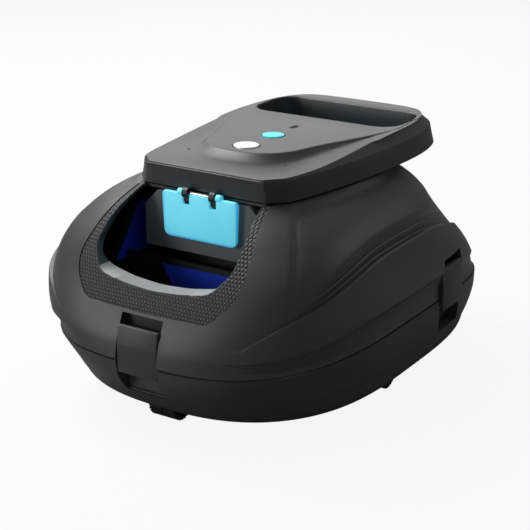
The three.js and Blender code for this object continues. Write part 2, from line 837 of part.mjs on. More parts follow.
// A solid from one outline at the bottom to a smaller one at the top. Its sides and its rear end
// lean in, and what is at frontY stays where it is.
function tapered(shape, z0, z1, [shrinkX, shrinkY], frontY) {
  const settings = { depth: z1 - z0, bevelEnabled: false, curveSegments: 8 };
  const geometry = new THREE.ExtrudeGeometry(shape, settings);
  const positions = geometry.attributes.position;
  for (let i = 0; i < positions.count; i += 1) {
    const share = positions.getZ(i) / (z1 - z0);
    positions.setX(i, positions.getX(i) * (1 - shrinkX * share));
    positions.setY(i, frontY + (positions.getY(i) - frontY) * (1 - shrinkY * share));
  }
  return solid(geometry.translate(0, 0, z0));
}

const slotWall = 3;
const coverRoom = 11; // from the cover's outline in to its hollow
const floorOfCover = headEdge - 4;
const buttonFloor = platformTop - 8;

function headCover() {
  const z0 = headBottom;
  const seatTop = z0 + headSeam + gap;
  let cover = tapered(headOutline(0), z0, headEdge, [0.06, 0.008], headFront);
  cover = cover.add(tapered(platformOutline(), headEdge - 1, platformTop, [0.03, 0.012], 40));
  const baseSeat = plate(headOutline(wall), z0 - 1, seatTop);
  const room = plate(headOutline(coverRoom), z0 - 1, floorOfCover).add(baseSeat);
  cover = cover.subtract(room.subtract(plate(slotOutline(slotWall), z0 - 2, floorOfCover + 1)));
  cover = cover.subtract(plate(slotOutline(0), z0 - 2, platformTop + 2));
  cover = cover.subtract(bar("z", buttonRadius + 0.5, 20, [0, buttonPlace, buttonFloor + 10], 32));
  cover = cover.subtract(bar("z", 4.4, 20, [0, buttonPlace, buttonFloor], 20));
  cover = cover.subtract(bar("z", capRadius + 0.4, 20, [0, capPlace, platformTop - 4 + 10], 32));
  cover = cover.subtract(bar("z", 7.4, 30, [0, capPlace, platformTop - 4], 24));
  const lensHalf = lensLength / 2 + gap;
  cover = cover.subtract(
    block(-0.9 - gap, 0.9 + gap, lensPlace - lensHalf, lensPlace + lensHalf, headEdge - 6, 230),
  );
  for (const side of [-1, 1]) {
    const centre = [side * sensorSpread, sensorPlace, headEdge];
    cover = cover.subtract(bar("z", 1.2 + gap, 30, centre, 14));
  }
  return cover;
}

// The plate that closes the cover from below, inside its rim and round the slot's wall.
function headBase() {
  let base = plate(headOutline(wall + gap), headBottom, headBottom + headSeam);
  base = base.subtract(plate(slotOutline(slotWall + gap), headBottom - 1, headBottom + headSeam + 1));
  for (const place of screwPlaces) {
    base = base.subtract(bar("z", 1.6 + gap, 20, [place[0], place[1], headBottom], 14));
  }
  return base;
}

const screwPlaces = [
  [-86, slotCentre],
  [86, slotCentre],
  [-60, headRear - 17],
  [60, headRear - 17],
];

// A screw driven up through the base plate, with its head under the plate.
function headScrew([x, y]) {
  const top = headBottom + headSeam - 0.2;
  const points = [
    [0, headBottom - 2.4],
    [2.6, headBottom - 2.4],
    [3.1, headBottom - 1.4],
    [3.1, headBottom - gap],
    [1.6, headBottom - gap],
    [1.6, top],
    [0, top],
  ];
  return turned(points, [x, y, 0], 14);
}

function powerButton() {
  const under = platformTop - 2.6;
  const points = [
    [0, buttonFloor - 4],
    [4, buttonFloor - 4],
    [4, under],
    [buttonRadius, under],
    [buttonRadius, platformTop + 0.4],
    [buttonRadius - 0.8, platformTop + 1],
    [0, platformTop + 1.2],
  ];
  return turned(points, [0, buttonPlace, 0], 32);
}

function buttonSpring() {
  const coilRadius = 7.5;
  const wire = 0.45;
  const coils = 3;
  const z0 = buttonFloor + gap + wire;
  const z1 = platformTop - 2.6 - gap - wire;
  const points = [];
  const steps = coils * 12;
  for (let i = 0; i <= steps; i += 1) {
    const angle = (i / 12) * 2 * Math.PI;
    const z = z0 + ((z1 - z0) * i) / steps;
    points.push(
      new THREE.Vector3(coilRadius * Math.cos(angle), buttonPlace + coilRadius * Math.sin(angle), z),
    );
  }
  const path = new THREE.CatmullRomCurve3(points);
  const section = new THREE.Shape();
  section.absarc(0, 0, wire, 0, 2 * Math.PI);
  const settings = { steps, extrudePath: path, curveSegments: 3 };
  return solid(new THREE.ExtrudeGeometry(section, settings));
}

function chargeCap() {
  const seat = platformTop - 4 + gap;
  const points = [
    [0, seat - 3],
    [5.4, seat - 3],
    [5.4, seat],
    [capRadius, seat],
    [capRadius, platformTop + 0.2],
    [capRadius - 1.2, platformTop + 0.8],
    [0, platformTop + 1],
  ];
  return turned(points, [0, capPlace, 0], 32);
}

function chargeSocket() {
  const top = platformTop - 4 - 3.2;
  const points = [
    [2.2, headBottom + headSeam + gap],
    [9, headBottom + headSeam + gap],
    [9, floorOfCover - gap],
    [6.8, floorOfCover - gap],
    [6.8, top],
    [2.2, top],
    [2.2, headBottom + headSeam + gap],
  ];
  return turned(points, [0, capPlace, 0], 24);
}

function addHead() {
  addPiece("head_base", headBase(), "head");
  addPiece("head_cover", headCover(), "head");
  addPiece("power_button", powerButton(), "silver");
  addPiece("button_spring", buttonSpring(), "steel");
  addPiece("charge_cap", chargeCap(), "cyan");
  addPiece("charge_socket", chargeSocket(), "blackPlastic");
  const lensHalf = lensLength / 2;
  addPiece(
    "status_lens",
    block(-0.9, 0.9, lensPlace - lensHalf, lensPlace + lensHalf, floorOfCover, platformTop - 0.2),
    "lens",
  );
  for (const [end, side] of [["left", -1], ["right", 1]]) {
    const top = headEdge + 0.6;
    const centre = [side * sensorSpread, sensorPlace, (floorOfCover + top) / 2];
    addPiece("water_sensor_" + end, bar("z", 1.2, top - floorOfCover, centre, 14), "steel");
  }
  const corners = ["left", "right", "rear_left", "rear_right"];
  screwPlaces.forEach((place, i) => {
    addPiece("head_screw_" + corners[i], headScrew(place), "steel");
  });
}

// ---- Whole cleaner --------------------------------------------------------------------------------

addTray();
addPiece("upper_shell", upperShell(), "shell");
addNozzle("front", false);
addNozzle("rear", true);
addDrive();
addFilter();
addHead();

export default cleaner;
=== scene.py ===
# %% [markdown]
# # A pool cleaner, finished over its CAD frame
# The CAD model fixes every size, joint and body. This lesson loads it, keeps it as a frame, and
# builds the moulded skins, the rubber and the small fittings that people see on top of it.

# %% Load the frame
import json
import math

import bmesh
import bpy
import numpy as np
from mathutils import Matrix, Vector


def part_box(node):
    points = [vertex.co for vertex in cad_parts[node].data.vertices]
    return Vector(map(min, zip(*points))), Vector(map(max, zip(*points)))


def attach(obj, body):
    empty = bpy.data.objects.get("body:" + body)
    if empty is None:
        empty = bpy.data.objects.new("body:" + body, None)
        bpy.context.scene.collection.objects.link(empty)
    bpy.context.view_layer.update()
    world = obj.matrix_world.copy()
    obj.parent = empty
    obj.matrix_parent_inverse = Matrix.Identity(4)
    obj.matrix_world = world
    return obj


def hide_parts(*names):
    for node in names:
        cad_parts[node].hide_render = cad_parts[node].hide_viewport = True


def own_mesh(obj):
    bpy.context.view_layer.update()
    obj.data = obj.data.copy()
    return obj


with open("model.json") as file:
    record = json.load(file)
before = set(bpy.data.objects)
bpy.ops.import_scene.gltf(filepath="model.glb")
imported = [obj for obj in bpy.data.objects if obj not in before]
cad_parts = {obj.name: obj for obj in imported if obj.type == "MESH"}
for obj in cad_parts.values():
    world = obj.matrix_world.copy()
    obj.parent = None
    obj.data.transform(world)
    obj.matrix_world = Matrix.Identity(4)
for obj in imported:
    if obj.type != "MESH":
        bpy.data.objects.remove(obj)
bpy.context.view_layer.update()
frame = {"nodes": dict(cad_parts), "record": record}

# %% [markdown]
# ## Camera, floor and light
# The cleaner is seen from above its front right corner with a long lens, which keeps its sides
# almost parallel. A long lens also shows curves honestly, so it suits a product view.

# %% Camera
AZIMUTH, ELEVATION = math.radians(32.761), math.radians(19.494)
FOCAL_LENGTH, SENSOR_WIDTH = 95.09, 36.0
STAND = (0.66744, -1.04013, 0.53114)
back = Vector((
    math.sin(AZIMUTH) * math.cos(ELEVATION),
    -math.cos(AZIMUTH) * math.cos(ELEVATION),
    math.sin(ELEVATION),
))
lens = bpy.data.cameras.new("camera")
lens.lens, lens.sensor_width = FOCAL_LENGTH, SENSOR_WIDTH
camera = bpy.data.objects.new("camera", lens)
camera.location = STAND
camera.rotation_euler = (-back).to_track_quat("-Z", "Y").to_euler()
bpy.context.scene.collection.objects.link(camera)
bpy.context.scene.camera = camera
bpy.context.scene.view_settings.view_transform = "Standard"
print("camera stands", round(camera.location.length, 3), "m from the middle of the ground")

# %% [markdown]
# Dark plastic shows its shape through what it reflects. The largest lamp is above on the left, so
# the top module shades the right flank and only the ribs below it catch light. A low one on the
# left front reaches in through the window, and the one at the back is reflected by the top.

# %% Lamps
def softbox(name, place, aim, size, watts):
    """A rectangular lamp at place that points at aim, all in metres."""
    lamp = bpy.data.lights.new(name, "AREA")
    lamp.shape, lamp.size, lamp.size_y, lamp.energy = "RECTANGLE", size[0], size[1], watts
    holder = bpy.data.objects.new(name, lamp)
    holder.location = place
    holder.rotation_euler = (Vector(aim) - Vector(place)).to_track_quat("-Z", "Y").to_euler()
    bpy.context.scene.collection.objects.link(holder)


middle = (0, 0, 0.1)
softbox("key_left", (-1.1, -1.5, 0.5), middle, (0.6, 0.5), 9.5)
softbox("above_left", (-1.0, 0.1, 1.45), middle, (0.7, 0.7), 26)
softbox("back_left", (-1.15, 1.55, 0.95), (-0.03, 0, 0.21), (1.6, 0.9), 9)
softbox("rim_right", (1.15, 1.45, 1.15), middle, (0.35, 0.5), 2)
print("four lamps")

# %% [markdown]
# A seamless paper sweep is white to the eye, yet it shouldn't flood dark plastic with light from below.
# So the paper that is looked at and the paper that lights the object are two shaders, chosen by ray.

# %% Sky and floor
world = bpy.data.worlds.new("studio")
bpy.context.scene.world = world
world.use_nodes = True
sky = world.node_tree
sky.nodes.clear()
path = sky.nodes.new("ShaderNodeLightPath")
seen = sky.nodes.new("ShaderNodeBackground")
seen.inputs["Color"].default_value, seen.inputs["Strength"].default_value = (0.96, 0.96, 0.96, 1), 1
felt = sky.nodes.new("ShaderNodeBackground")
felt.inputs["Color"].default_value, felt.inputs["Strength"].default_value = (0.95, 0.97, 1, 1), 0.24
choice = sky.nodes.new("ShaderNodeMixShader")
out = sky.nodes.new("ShaderNodeOutputWorld")
sky.links.new(path.outputs["Is Camera Ray"], choice.inputs[0])
sky.links.new(felt.outputs[0], choice.inputs[1])
sky.links.new(seen.outputs[0], choice.inputs[2])
sky.links.new(choice.outputs[0], out.inputs[0])
print("sky ready")

floor_mesh = bmesh.new()
bmesh.ops.create_grid(floor_mesh, x_segments=1, y_segments=1, size=30)
floor_data = bpy.data.meshes.new("floor")
floor_mesh.to_mesh(floor_data)
floor_mesh.free()
floor = bpy.data.objects.new("floor", floor_data)
bpy.context.scene.collection.objects.link(floor)
paper = bpy.data.materials.new("white_paper")
paper.use_nodes = True
paper_nodes = paper.node_tree
shown = paper_nodes.nodes["Principled BSDF"]
shown.inputs["Base Color"].default_value = (0.06, 0.06, 0.06, 1)
shown.inputs["Roughness"].default_value = 0.9
shown.inputs["Specular IOR Level"].default_value = 0.0
shown.inputs["Emission Color"].default_value = (1, 1, 1, 1)
shown.inputs["Emission Strength"].default_value = 0.905
dull = paper_nodes.nodes.new("ShaderNodeBsdfDiffuse")
dull.inputs["Color"].default_value = (0.3, 0.3, 0.3, 1)
ray = paper_nodes.nodes.new("ShaderNodeLightPath")
pick = paper_nodes.nodes.new("ShaderNodeMixShader")
paper_nodes.links.new(ray.outputs["Is Camera Ray"], pick.inputs[0])
paper_nodes.links.new(dull.outputs[0], pick.inputs[1])
paper_nodes.links.new(shown.outputs[0], pick.inputs[2])
paper_nodes.links.new(pick.outputs[0], paper_nodes.nodes["Material Output"].inputs[0])
floor_data.materials.append(paper)
print("floor is", floor.dimensions.x, "m wide")

# %% [markdown]
# ## Finishes
# Nearly all of the cleaner is injection-moulded plastic with a spark-eroded grain. One node group
# holds that grain, so that every plastic shares it with its own scale, depth and colours.

# %% Node group helper
def group(name, inputs, outputs):
    """An empty shader node group with named sockets: [(name, type, default)]."""
    tree = bpy.data.node_groups.new(name, "ShaderNodeTree")
    for label, kind, value in inputs:
        socket = tree.interface.new_socket(name=label, in_out="INPUT", socket_type=kind)
        if value is not None:
            socket.default_value = value
    for label, kind in outputs:
        tree.interface.new_socket(name=label, in_out="OUTPUT", socket_type=kind)
    return tree, tree.nodes.new("NodeGroupInput"), tree.nodes.new("NodeGroupOutput")


def put(tree, kind, settings=None, **wires):
    """Adds a node. settings are its properties; a wire is a number, a colour or another output."""
    node = tree.nodes.new(kind)
    for key, value in (settings or {}).items():
        setattr(node, key, value)
    for key, value in wires.items():
        socket = node.inputs[int(key[1:])] if key[0] == "i" and key[1:].isdigit() else node.inputs[key]
        if isinstance(value, bpy.types.NodeSocket):
            tree.links.new(value, socket)
        else:
            socket.default_value = value
    return node


def maths(tree, operation, a, b=0.0, c=0.0):
    """The output of one sum; a, b and c are numbers or other outputs."""
    node = put(tree, "ShaderNodeMath", {"operation": operation}, i0=a, i1=b, i2=c)
    return node.outputs[0]


FLOAT, COLOUR, VECTOR = "NodeSocketFloat", "NodeSocketColor", "NodeSocketVector"
print("helpers ready")

# %% [markdown]
# Spark erosion leaves fine pits in the mould, and the part comes out with a fine, matt grain. Two
# noises stand for it: a fine one for pits and specks, a broad one for slow changes in gloss.

# %% Grain of moulded plastic
moulded, given, gives = group(
    "moulded_grain",
    [("Colour", COLOUR, (0.03, 0.03, 0.03, 1)), ("Grain", FLOAT, 1300.0), ("Depth", FLOAT, 0.5),
     ("Roughness", FLOAT, 0.5), ("Speck", FLOAT, 1.0)],
    [("Colour", COLOUR), ("Roughness", FLOAT), ("Normal", VECTOR)],
)
where = put(moulded, "ShaderNodeTexCoord").outputs["Object"]
fine = put(moulded, "ShaderNodeTexNoise", Vector=where, Scale=given.outputs["Grain"],
           Detail=3.0, Roughness=0.6)
broad = put(moulded, "ShaderNodeTexNoise", Vector=where, Scale=9.0, Detail=2.0)
spread = put(moulded, "ShaderNodeMapRange", i0=fine.outputs["Fac"], i1=0.35, i2=0.7, i3=-0.15, i4=0.25)
speck = maths(moulded, "MULTIPLY_ADD", spread.outputs[0], given.outputs["Speck"], 1.0)
cloud = put(moulded, "ShaderNodeMapRange", i0=broad.outputs["Fac"], i1=0.3, i2=0.7, i3=0.94, i4=1.06)
shade = maths(moulded, "MULTIPLY", speck, cloud.outputs[0])
tint = put(moulded, "ShaderNodeVectorMath", {"operation": "SCALE"}, i0=given.outputs["Colour"], Scale=shade)
smoother = maths(moulded, "SUBTRACT", given.outputs["Roughness"], 0.25)
rough = maths(moulded, "MULTIPLY_ADD", cloud.outputs[0], 0.25, smoother)
bump = put(moulded, "ShaderNodeBump", Strength=given.outputs["Depth"], Distance=0.00012,
           Height=fine.outputs["Fac"])
moulded.links.new(tint.outputs[0], gives.inputs["Colour"])
moulded.links.new(rough, gives.inputs["Roughness"])
moulded.links.new(bump.outputs[0], gives.inputs["Normal"])
print("moulded grain:", len(moulded.nodes), "nodes")

# %% [markdown]
# The rim of the window carries a field of small hexagonal scales. They are far too many to
# model, so the next group works out how far each point is from the middle of its hexagon.

# %% Hexagonal scales
scales, given, gives = group(
    "hexagon_scales",
    [("Vector", VECTOR, None), ("Pitch", FLOAT, 0.0032)],
    [("Height", FLOAT), ("Tone", FLOAT)],
)
SIDE = math.sqrt(3)
cell = put(scales, "ShaderNodeVectorMath", {"operation": "DIVIDE"}, i0=given.outputs["Vector"])
pitch = put(scales, "ShaderNodeCombineXYZ", X=given.outputs["Pitch"], Y=given.outputs["Pitch"], Z=1.0)
scales.links.new(pitch.outputs[0], cell.inputs[1])
lattices = []
for shift in ((100.0, 100.0 * SIDE, 0.0), (100.5, 100.0 * SIDE + SIDE / 2, 0.0)):
    moved = put(scales, "ShaderNodeVectorMath", {"operation": "ADD"}, i0=cell.outputs[0], i1=shift)
    wrapped = put(scales, "ShaderNodeVectorMath", {"operation": "MODULO"},
                  i0=moved.outputs[0], i1=(1.0, SIDE, 1000.0))
    centred = put(scales, "ShaderNodeVectorMath", {"operation": "SUBTRACT"},
                  i0=wrapped.outputs[0], i1=(0.5, SIDE / 2, 0.0))
    flat = put(scales, "ShaderNodeVectorMath", {"operation": "MULTIPLY"},
               i0=centred.outputs[0], i1=(1.0, 1.0, 0.0))
    size = put(scales, "ShaderNodeVectorMath", {"operation": "LENGTH"}, i0=flat.outputs[0])
    lattices.append((flat.outputs[0], size.outputs["Value"]))
nearer = maths(scales, "LESS_THAN", lattices[0][1], lattices[1][1])
spot = put(scales, "ShaderNodeMix", {"data_type": "VECTOR"}, i0=nearer, i4=lattices[1][0], i5=lattices[0][0])
parts = put(scales, "ShaderNodeSeparateXYZ", i0=spot.outputs[1])
across = maths(scales, "ABSOLUTE", parts.outputs[0])
upward = maths(scales, "ABSOLUTE", parts.outputs[1])
slant = maths(scales, "MULTIPLY_ADD", across, 0.5, maths(scales, "MULTIPLY", upward, SIDE / 2))
reach = maths(scales, "MAXIMUM", across, slant)
dome = put(scales, "ShaderNodeMapRange", {"interpolation_type": "SMOOTHSTEP"},
           i0=reach, i1=0.5, i2=0.2, i3=0.0, i4=1.0)
lean = maths(scales, "MULTIPLY_ADD", parts.outputs[1], 0.8, dome.outputs[0])
scales.links.new(lean, gives.inputs["Height"])
# Tone is the mask for the painted shade in the grooves between the scales.
scales.links.new(dome.outputs[0], gives.inputs["Tone"])
print("hexagon scales:", len(scales.nodes), "nodes")

# %% [markdown]
# Every plastic part is then one call with its own colour, grain and gloss. Only changing values come
# from the group, and values that are constant sit on the shader.

# %% A plastic with the grain
def plastic(name, colour, grain=1300.0, depth=0.5, roughness=0.5, speck=1.0, specular=0.5):
    """A material of grained plastic, and its node tree for more work on it."""
    made = bpy.data.materials.new(name)
    made.use_nodes = True
    tree = made.node_tree
    surface = tree.nodes["Principled BSDF"]
    surface.inputs["Specular IOR Level"].default_value = specular
    grained = put(tree, "ShaderNodeGroup", {"node_tree": moulded},
                  Colour=(*colour, 1), Grain=grain, Depth=depth, Roughness=roughness, Speck=speck)
    tree.links.new(grained.outputs["Colour"], surface.inputs["Base Color"])
    tree.links.new(grained.outputs["Roughness"], surface.inputs["Roughness"])
    tree.links.new(grained.outputs["Normal"], surface.inputs["Normal"])
    return made


shell_finish = plastic("shell_plastic", (0.041, 0.041, 0.0415), 1100, 0.55, 0.46)
tray_finish = plastic("tray_plastic", (0.040, 0.040, 0.0405), 1100, 0.5, 0.52)
head_finish = plastic("head_plastic", (0.023, 0.023, 0.0235), 1300, 0.45, 0.43)
black_finish = plastic("black_plastic", (0.008, 0.008, 0.0085), 900, 0.35, 0.45)
grey_finish = plastic("grey_plastic", (0.13, 0.13, 0.13), 900, 0.2, 0.45, speck=0.3)
# Painted light: the lower window reveal gets this light grey to stand in for the light it catches.
sill_painted_light = plastic("sill_painted_light_grey", (0.34, 0.34, 0.335), 900, 0.2, 0.5, speck=0.3)
cyan_finish = plastic("cyan_cap", (0.05, 0.80, 0.84), 700, 0.15, 0.42, speck=0.2)
rubber_finish = plastic("rubber", (0.010, 0.010, 0.011), 500, 0.8, 0.75, specular=0.35)
lens_finish = plastic("dark_window", (0.004, 0.004, 0.005), 200, 0.05, 0.55, specular=0.2)
wrap_finish = plastic("battery_wrap", (0.025, 0.07, 0.15), 120, 0.6, 0.35)
mask_finish = plastic("board_mask", (0.01, 0.09, 0.035), 400, 0.3, 0.3)
print("eleven plastics")

# %% [markdown]
# The hexagons are laid out looking along the body, because the rim lies across it at both ends. Their
# height goes to a bump, and their tone is painted shade: it darkens the grooves between them and lightens
# their middles.

# %% The scaled rim
band_finish = plastic("window_rim", (0.026, 0.026, 0.0265), 1100, 0.3, 0.5)
tree = band_finish.node_tree
spotted = put(tree, "ShaderNodeTexCoord").outputs["Object"]
SCALE_PITCH = 0.0031
turned = put(tree, "ShaderNodeMapping", {"vector_type": "POINT"}, Vector=spotted,
             Rotation=(math.radians(-90), 0, 0))
tiles = put(tree, "ShaderNodeGroup", {"node_tree": scales}, Vector=turned.outputs[0], Pitch=SCALE_PITCH)
raised = put(tree, "ShaderNodeBump", Strength=0.8, Distance=0.0005, Height=tiles.outputs["Height"])
surface = tree.nodes["Principled BSDF"]
tree.links.new(raised.outputs[0], surface.inputs["Normal"])
old = surface.inputs["Base Color"].links[0].from_socket
# Painted shade: the colour is darkened in the grooves between the scales and lightened on their middles.
painted_groove_shade = put(tree, "ShaderNodeMapRange", i0=tiles.outputs["Tone"], i1=0.0, i2=1.0, i3=0.45, i4=1.25)
shade_painted_colour = put(tree, "ShaderNodeVectorMath", {"operation": "SCALE"}, i0=old, Scale=painted_groove_shade.outputs[0])
tree.links.new(shade_painted_colour.outputs[0], surface.inputs["Base Color"])
print("window rim has hexagons", SCALE_PITCH * 1000, "mm apart")

# %% [markdown]
# The side screens are a plastic weave. A checker of over and under threads is enough at this size:
# two sine waves cross, and each is raised where the other one dips. The colour is darkened between the
# threads as painted shade.

# %% Weave
weave, given, gives = group(
    "plain_weave",
    [("Vector", VECTOR, None), ("Threads per metre", FLOAT, 1500.0)],
    [("Height", FLOAT), ("Gap shade", FLOAT)],
)
split = put(weave, "ShaderNodeSeparateXYZ", i0=given.outputs["Vector"])
count = maths(weave, "MULTIPLY", given.outputs["Threads per metre"], math.pi)
level = maths(weave, "ADD", split.outputs[0], split.outputs[1])
along = maths(weave, "SINE", maths(weave, "MULTIPLY", level, count))
over = maths(weave, "SINE", maths(weave, "MULTIPLY", split.outputs[2], count))
crossed = maths(weave, "MULTIPLY", along, over)
open_part = maths(weave, "MULTIPLY", maths(weave, "ABSOLUTE", along), maths(weave, "ABSOLUTE", over))
weave.links.new(crossed, gives.inputs["Height"])
weave.links.new(open_part, gives.inputs["Gap shade"])

screen_finish = plastic("woven_screen", (0.004, 0.06, 0.85), 900, 0.3, 0.55, speck=0.3)
tree = screen_finish.node_tree
spotted = put(tree, "ShaderNodeTexCoord").outputs["Object"]
THREADS = 1300.0
threads = put(tree, "ShaderNodeGroup", {"node_tree": weave}, Vector=spotted, **{"Threads per metre": THREADS})
woven = put(tree, "ShaderNodeBump", Strength=0.7, Distance=0.0004, Height=threads.outputs["Height"])
surface = tree.nodes["Principled BSDF"]
tree.links.new(woven.outputs[0], surface.inputs["Normal"])
plain = surface.inputs["Base Color"].links[0].from_socket
# Painted shade: the colour is darkened in the gaps between the threads and lightened on their tops.
holes = put(tree, "ShaderNodeMapRange", i0=threads.outputs["Gap shade"], i1=0.1, i2=0.7, i3=0.55, i4=1.2)
shade_painted_colour = put(tree, "ShaderNodeVectorMath", {"operation": "SCALE"}, i0=plain, Scale=holes.outputs[0])
tree.links.new(shade_painted_colour.outputs[0], surface.inputs["Base Color"])
print("weave:", THREADS, "threads in a metre")

# %% [markdown]
# The metals show tool marks: circles on the faces of the button and the screws, and lines round
# the pins. One group makes rings about an axis that the material's Mapping node puts in place.

# %% Metals
rings, given, gives = group(
    "turned_rings",
    [("Vector", VECTOR, None), ("Rings per metre", FLOAT, 2500.0), ("Roughness", FLOAT, 0.3)],
    [("Height", FLOAT), ("Roughness", FLOAT), ("Tone", FLOAT)],
)
split = put(rings, "ShaderNodeSeparateXYZ", i0=given.outputs["Vector"])
level = put(rings, "ShaderNodeCombineXYZ", X=split.outputs[0], Y=split.outputs[1], Z=0.0)
radius = put(rings, "ShaderNodeVectorMath", {"operation": "LENGTH"}, i0=level.outputs[0]).outputs["Value"]
counted = maths(rings, "MULTIPLY", radius, given.outputs["Rings per metre"])
phase = maths(rings, "MULTIPLY", counted, 2 * math.pi)
ripple = maths(rings, "SINE", phase)
smear = put(rings, "ShaderNodeTexNoise", Vector=given.outputs["Vector"], Scale=260.0, Detail=3.0)
smoother = maths(rings, "SUBTRACT", given.outputs["Roughness"], 0.1)
rougher = maths(rings, "MULTIPLY_ADD", smear.outputs["Fac"], 0.2, smoother)
clouded = maths(rings, "MULTIPLY_ADD", smear.outputs["Fac"], 0.2, 0.86)
tone = maths(rings, "MULTIPLY_ADD", ripple, 0.06, clouded)
rings.links.new(ripple, gives.inputs["Height"])
rings.links.new(rougher, gives.inputs["Roughness"])
rings.links.new(tone, gives.inputs["Tone"])


def metal(name, colour, centre=(0, 0, 0), turn=(0, 0, 0), pitch=2500.0, roughness=0.3):
    """Metal turned about an axis through centre, which is given in metres."""
    made = bpy.data.materials.new(name)
    made.use_nodes = True
    tree = made.node_tree
    surface = tree.nodes["Principled BSDF"]
    surface.inputs["Metallic"].default_value = 1.0
    spotted = put(tree, "ShaderNodeTexCoord").outputs["Object"]
    placed = put(tree, "ShaderNodeMapping", {"vector_type": "TEXTURE"}, Vector=spotted,
                 Location=centre, Rotation=turn)
    lathe = put(tree, "ShaderNodeGroup", {"node_tree": rings}, Vector=placed.outputs[0], Roughness=roughness,
                **{"Rings per metre": pitch})
    base = put(tree, "ShaderNodeVectorMath", {"operation": "SCALE"}, i0=colour, Scale=lathe.outputs["Tone"])
    marks = put(tree, "ShaderNodeBump", Strength=0.25, Distance=0.00005, Height=lathe.outputs["Height"])
    tree.links.new(base.outputs[0], surface.inputs["Base Color"])
    tree.links.new(lathe.outputs["Roughness"], surface.inputs["Roughness"])
    tree.links.new(marks.outputs[0], surface.inputs["Normal"])
    return made


button_lo, button_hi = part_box("power_button")
button_middle = (button_lo + button_hi) / 2
steel_finish = metal("turned_steel", (0.62, 0.62, 0.63), turn=(0, math.radians(90), 0))
can_finish = metal("motor_can", (0.5, 0.5, 0.52), turn=(math.radians(90), 0, 0), pitch=700, roughness=0.4)
contact_finish = metal("dark_contact", (0.05, 0.05, 0.052), turn=(0, 0, 0), pitch=1500, roughness=0.4)
silver_finish = metal("spun_aluminium", (0.80, 0.80, 0.80), centre=tuple(button_middle), pitch=900,
                      roughness=0.45)
silver_finish.node_tree.nodes["Principled BSDF"].inputs["Metallic"].default_value = 0.75
print("four metals; the button turns about", [round(v, 4) for v in button_middle])

# %% [markdown]
# The blue flap is dyed through. Its rim is mixed to a deeper blue as painted shade for the shaded edge faces,
# and a weak emission paints light into the whole leaf. A mask from the distance to the rim mixes that shade
# in.

# %% Blue flap
flap_lo, flap_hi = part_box("nozzle_flap_front")
flap_finish = plastic("flap_blue", (0.27, 0.95, 1.0), 800, 0.12, 0.38, speck=0.12)
tree = flap_finish.node_tree
spotted = put(tree, "ShaderNodeTexCoord").outputs["Object"]
split = put(tree, "ShaderNodeSeparateXYZ", i0=spotted)
sideways = maths(tree, "ABSOLUTE", split.outputs[0])
near_side = put(tree, "ShaderNodeMapRange", {"interpolation_type": "SMOOTHSTEP"},
                i0=sideways, i1=flap_hi.x - 0.0016, i2=flap_hi.x + 0.0014, i3=0.0, i4=1.0)
near_foot = put(tree, "ShaderNodeMapRange", {"interpolation_type": "SMOOTHSTEP"},
                i0=split.outputs[2], i1=flap_lo.z + 0.0030, i2=flap_lo.z + 0.0006, i3=0.0, i4=1.0)
rim = maths(tree, "MAXIMUM", near_side.outputs[0], near_foot.outputs[0])
surface = tree.nodes["Principled BSDF"]
dyed = surface.inputs["Base Color"].links[0].from_socket
# Painted shade: the last 3 mm towards the rim go to a deeper blue.
deeper = maths(tree, "MULTIPLY", rim, 0.85)
rim_shaded_blue = put(tree, "ShaderNodeMix", {"data_type": "RGBA"}, i0=deeper, i6=dyed, i7=(0.03, 0.20, 0.62, 1))
tree.links.new(rim_shaded_blue.outputs[2], surface.inputs["Base Color"])
# Painted light: a weak blue emission makes the leaf glow.
surface.inputs["Emission Color"].default_value = (0.08, 0.62, 0.97, 1)
surface.inputs["Emission Strength"].default_value = 0.4
print("flap rim is deeper blue over the last 3 mm")

# %% [markdown]
# The CAD nodes that stay visible take the same finishes. The record names a slot for each, so the
# finish follows from the slot. The two sensor contacts are darkened, as such contacts are.

# %% Finishes on the CAD nodes
SLOT_FINISHES = {
    "shell": shell_finish, "tray": tray_finish, "head": head_finish, "black_plastic": black_finish,
    "grey_plastic": grey_finish, "flap_blue": flap_finish, "cyan": cyan_finish, "silver": silver_finish,
    "rubber": rubber_finish, "steel": steel_finish, "screen_blue": screen_finish, "lens": lens_finish,
    "battery": wrap_finish, "board": mask_finish, "motor_steel": can_finish,
}
slots = {part["node"]: part["material_slot"] for part in frame["record"]["subparts"]}
for name, node in frame["nodes"].items():
    node.data.materials.clear()
    node.data.materials.append(SLOT_FINISHES[slots[name]])
for name in ("water_sensor_left", "water_sensor_right"):
    frame["nodes"][name].data.materials[0] = contact_finish
print(len(slots), "nodes in", len(set(slots.values())), "finishes")

# %% [markdown]
# ## Tools for the moulded pieces
# Shapes are worked out in millimetres, as on a drawing, and turned into metres at the end. Every
# piece then rides on its CAD body and stands in for the node it finishes.

# %% Piece
def piece(name, bm, body, stands_for, finish, crease=35.0):
    """Makes the object of a finished shape. finish is a material or a list of them."""
    bmesh.ops.scale(bm, vec=(0.001, 0.001, 0.001), verts=bm.verts)
    for face in bm.faces:
        face.smooth = True
    bm.normal_update()
    limit = math.radians(crease)
    for edge in bm.edges:
        edge.smooth = len(edge.link_faces) == 2 and edge.calc_face_angle(0.0) < limit
    data = bpy.data.meshes.new(name)
    bm.to_mesh(data)
    bm.free()
    for each in finish if isinstance(finish, list) else [finish]:
        data.materials.append(each)
    made = bpy.data.objects.new(name, data)
    bpy.context.scene.collection.objects.link(made)
    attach(made, body)
    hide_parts(*stands_for)
    print(name, "-", len(data.polygons), "faces")
    return made


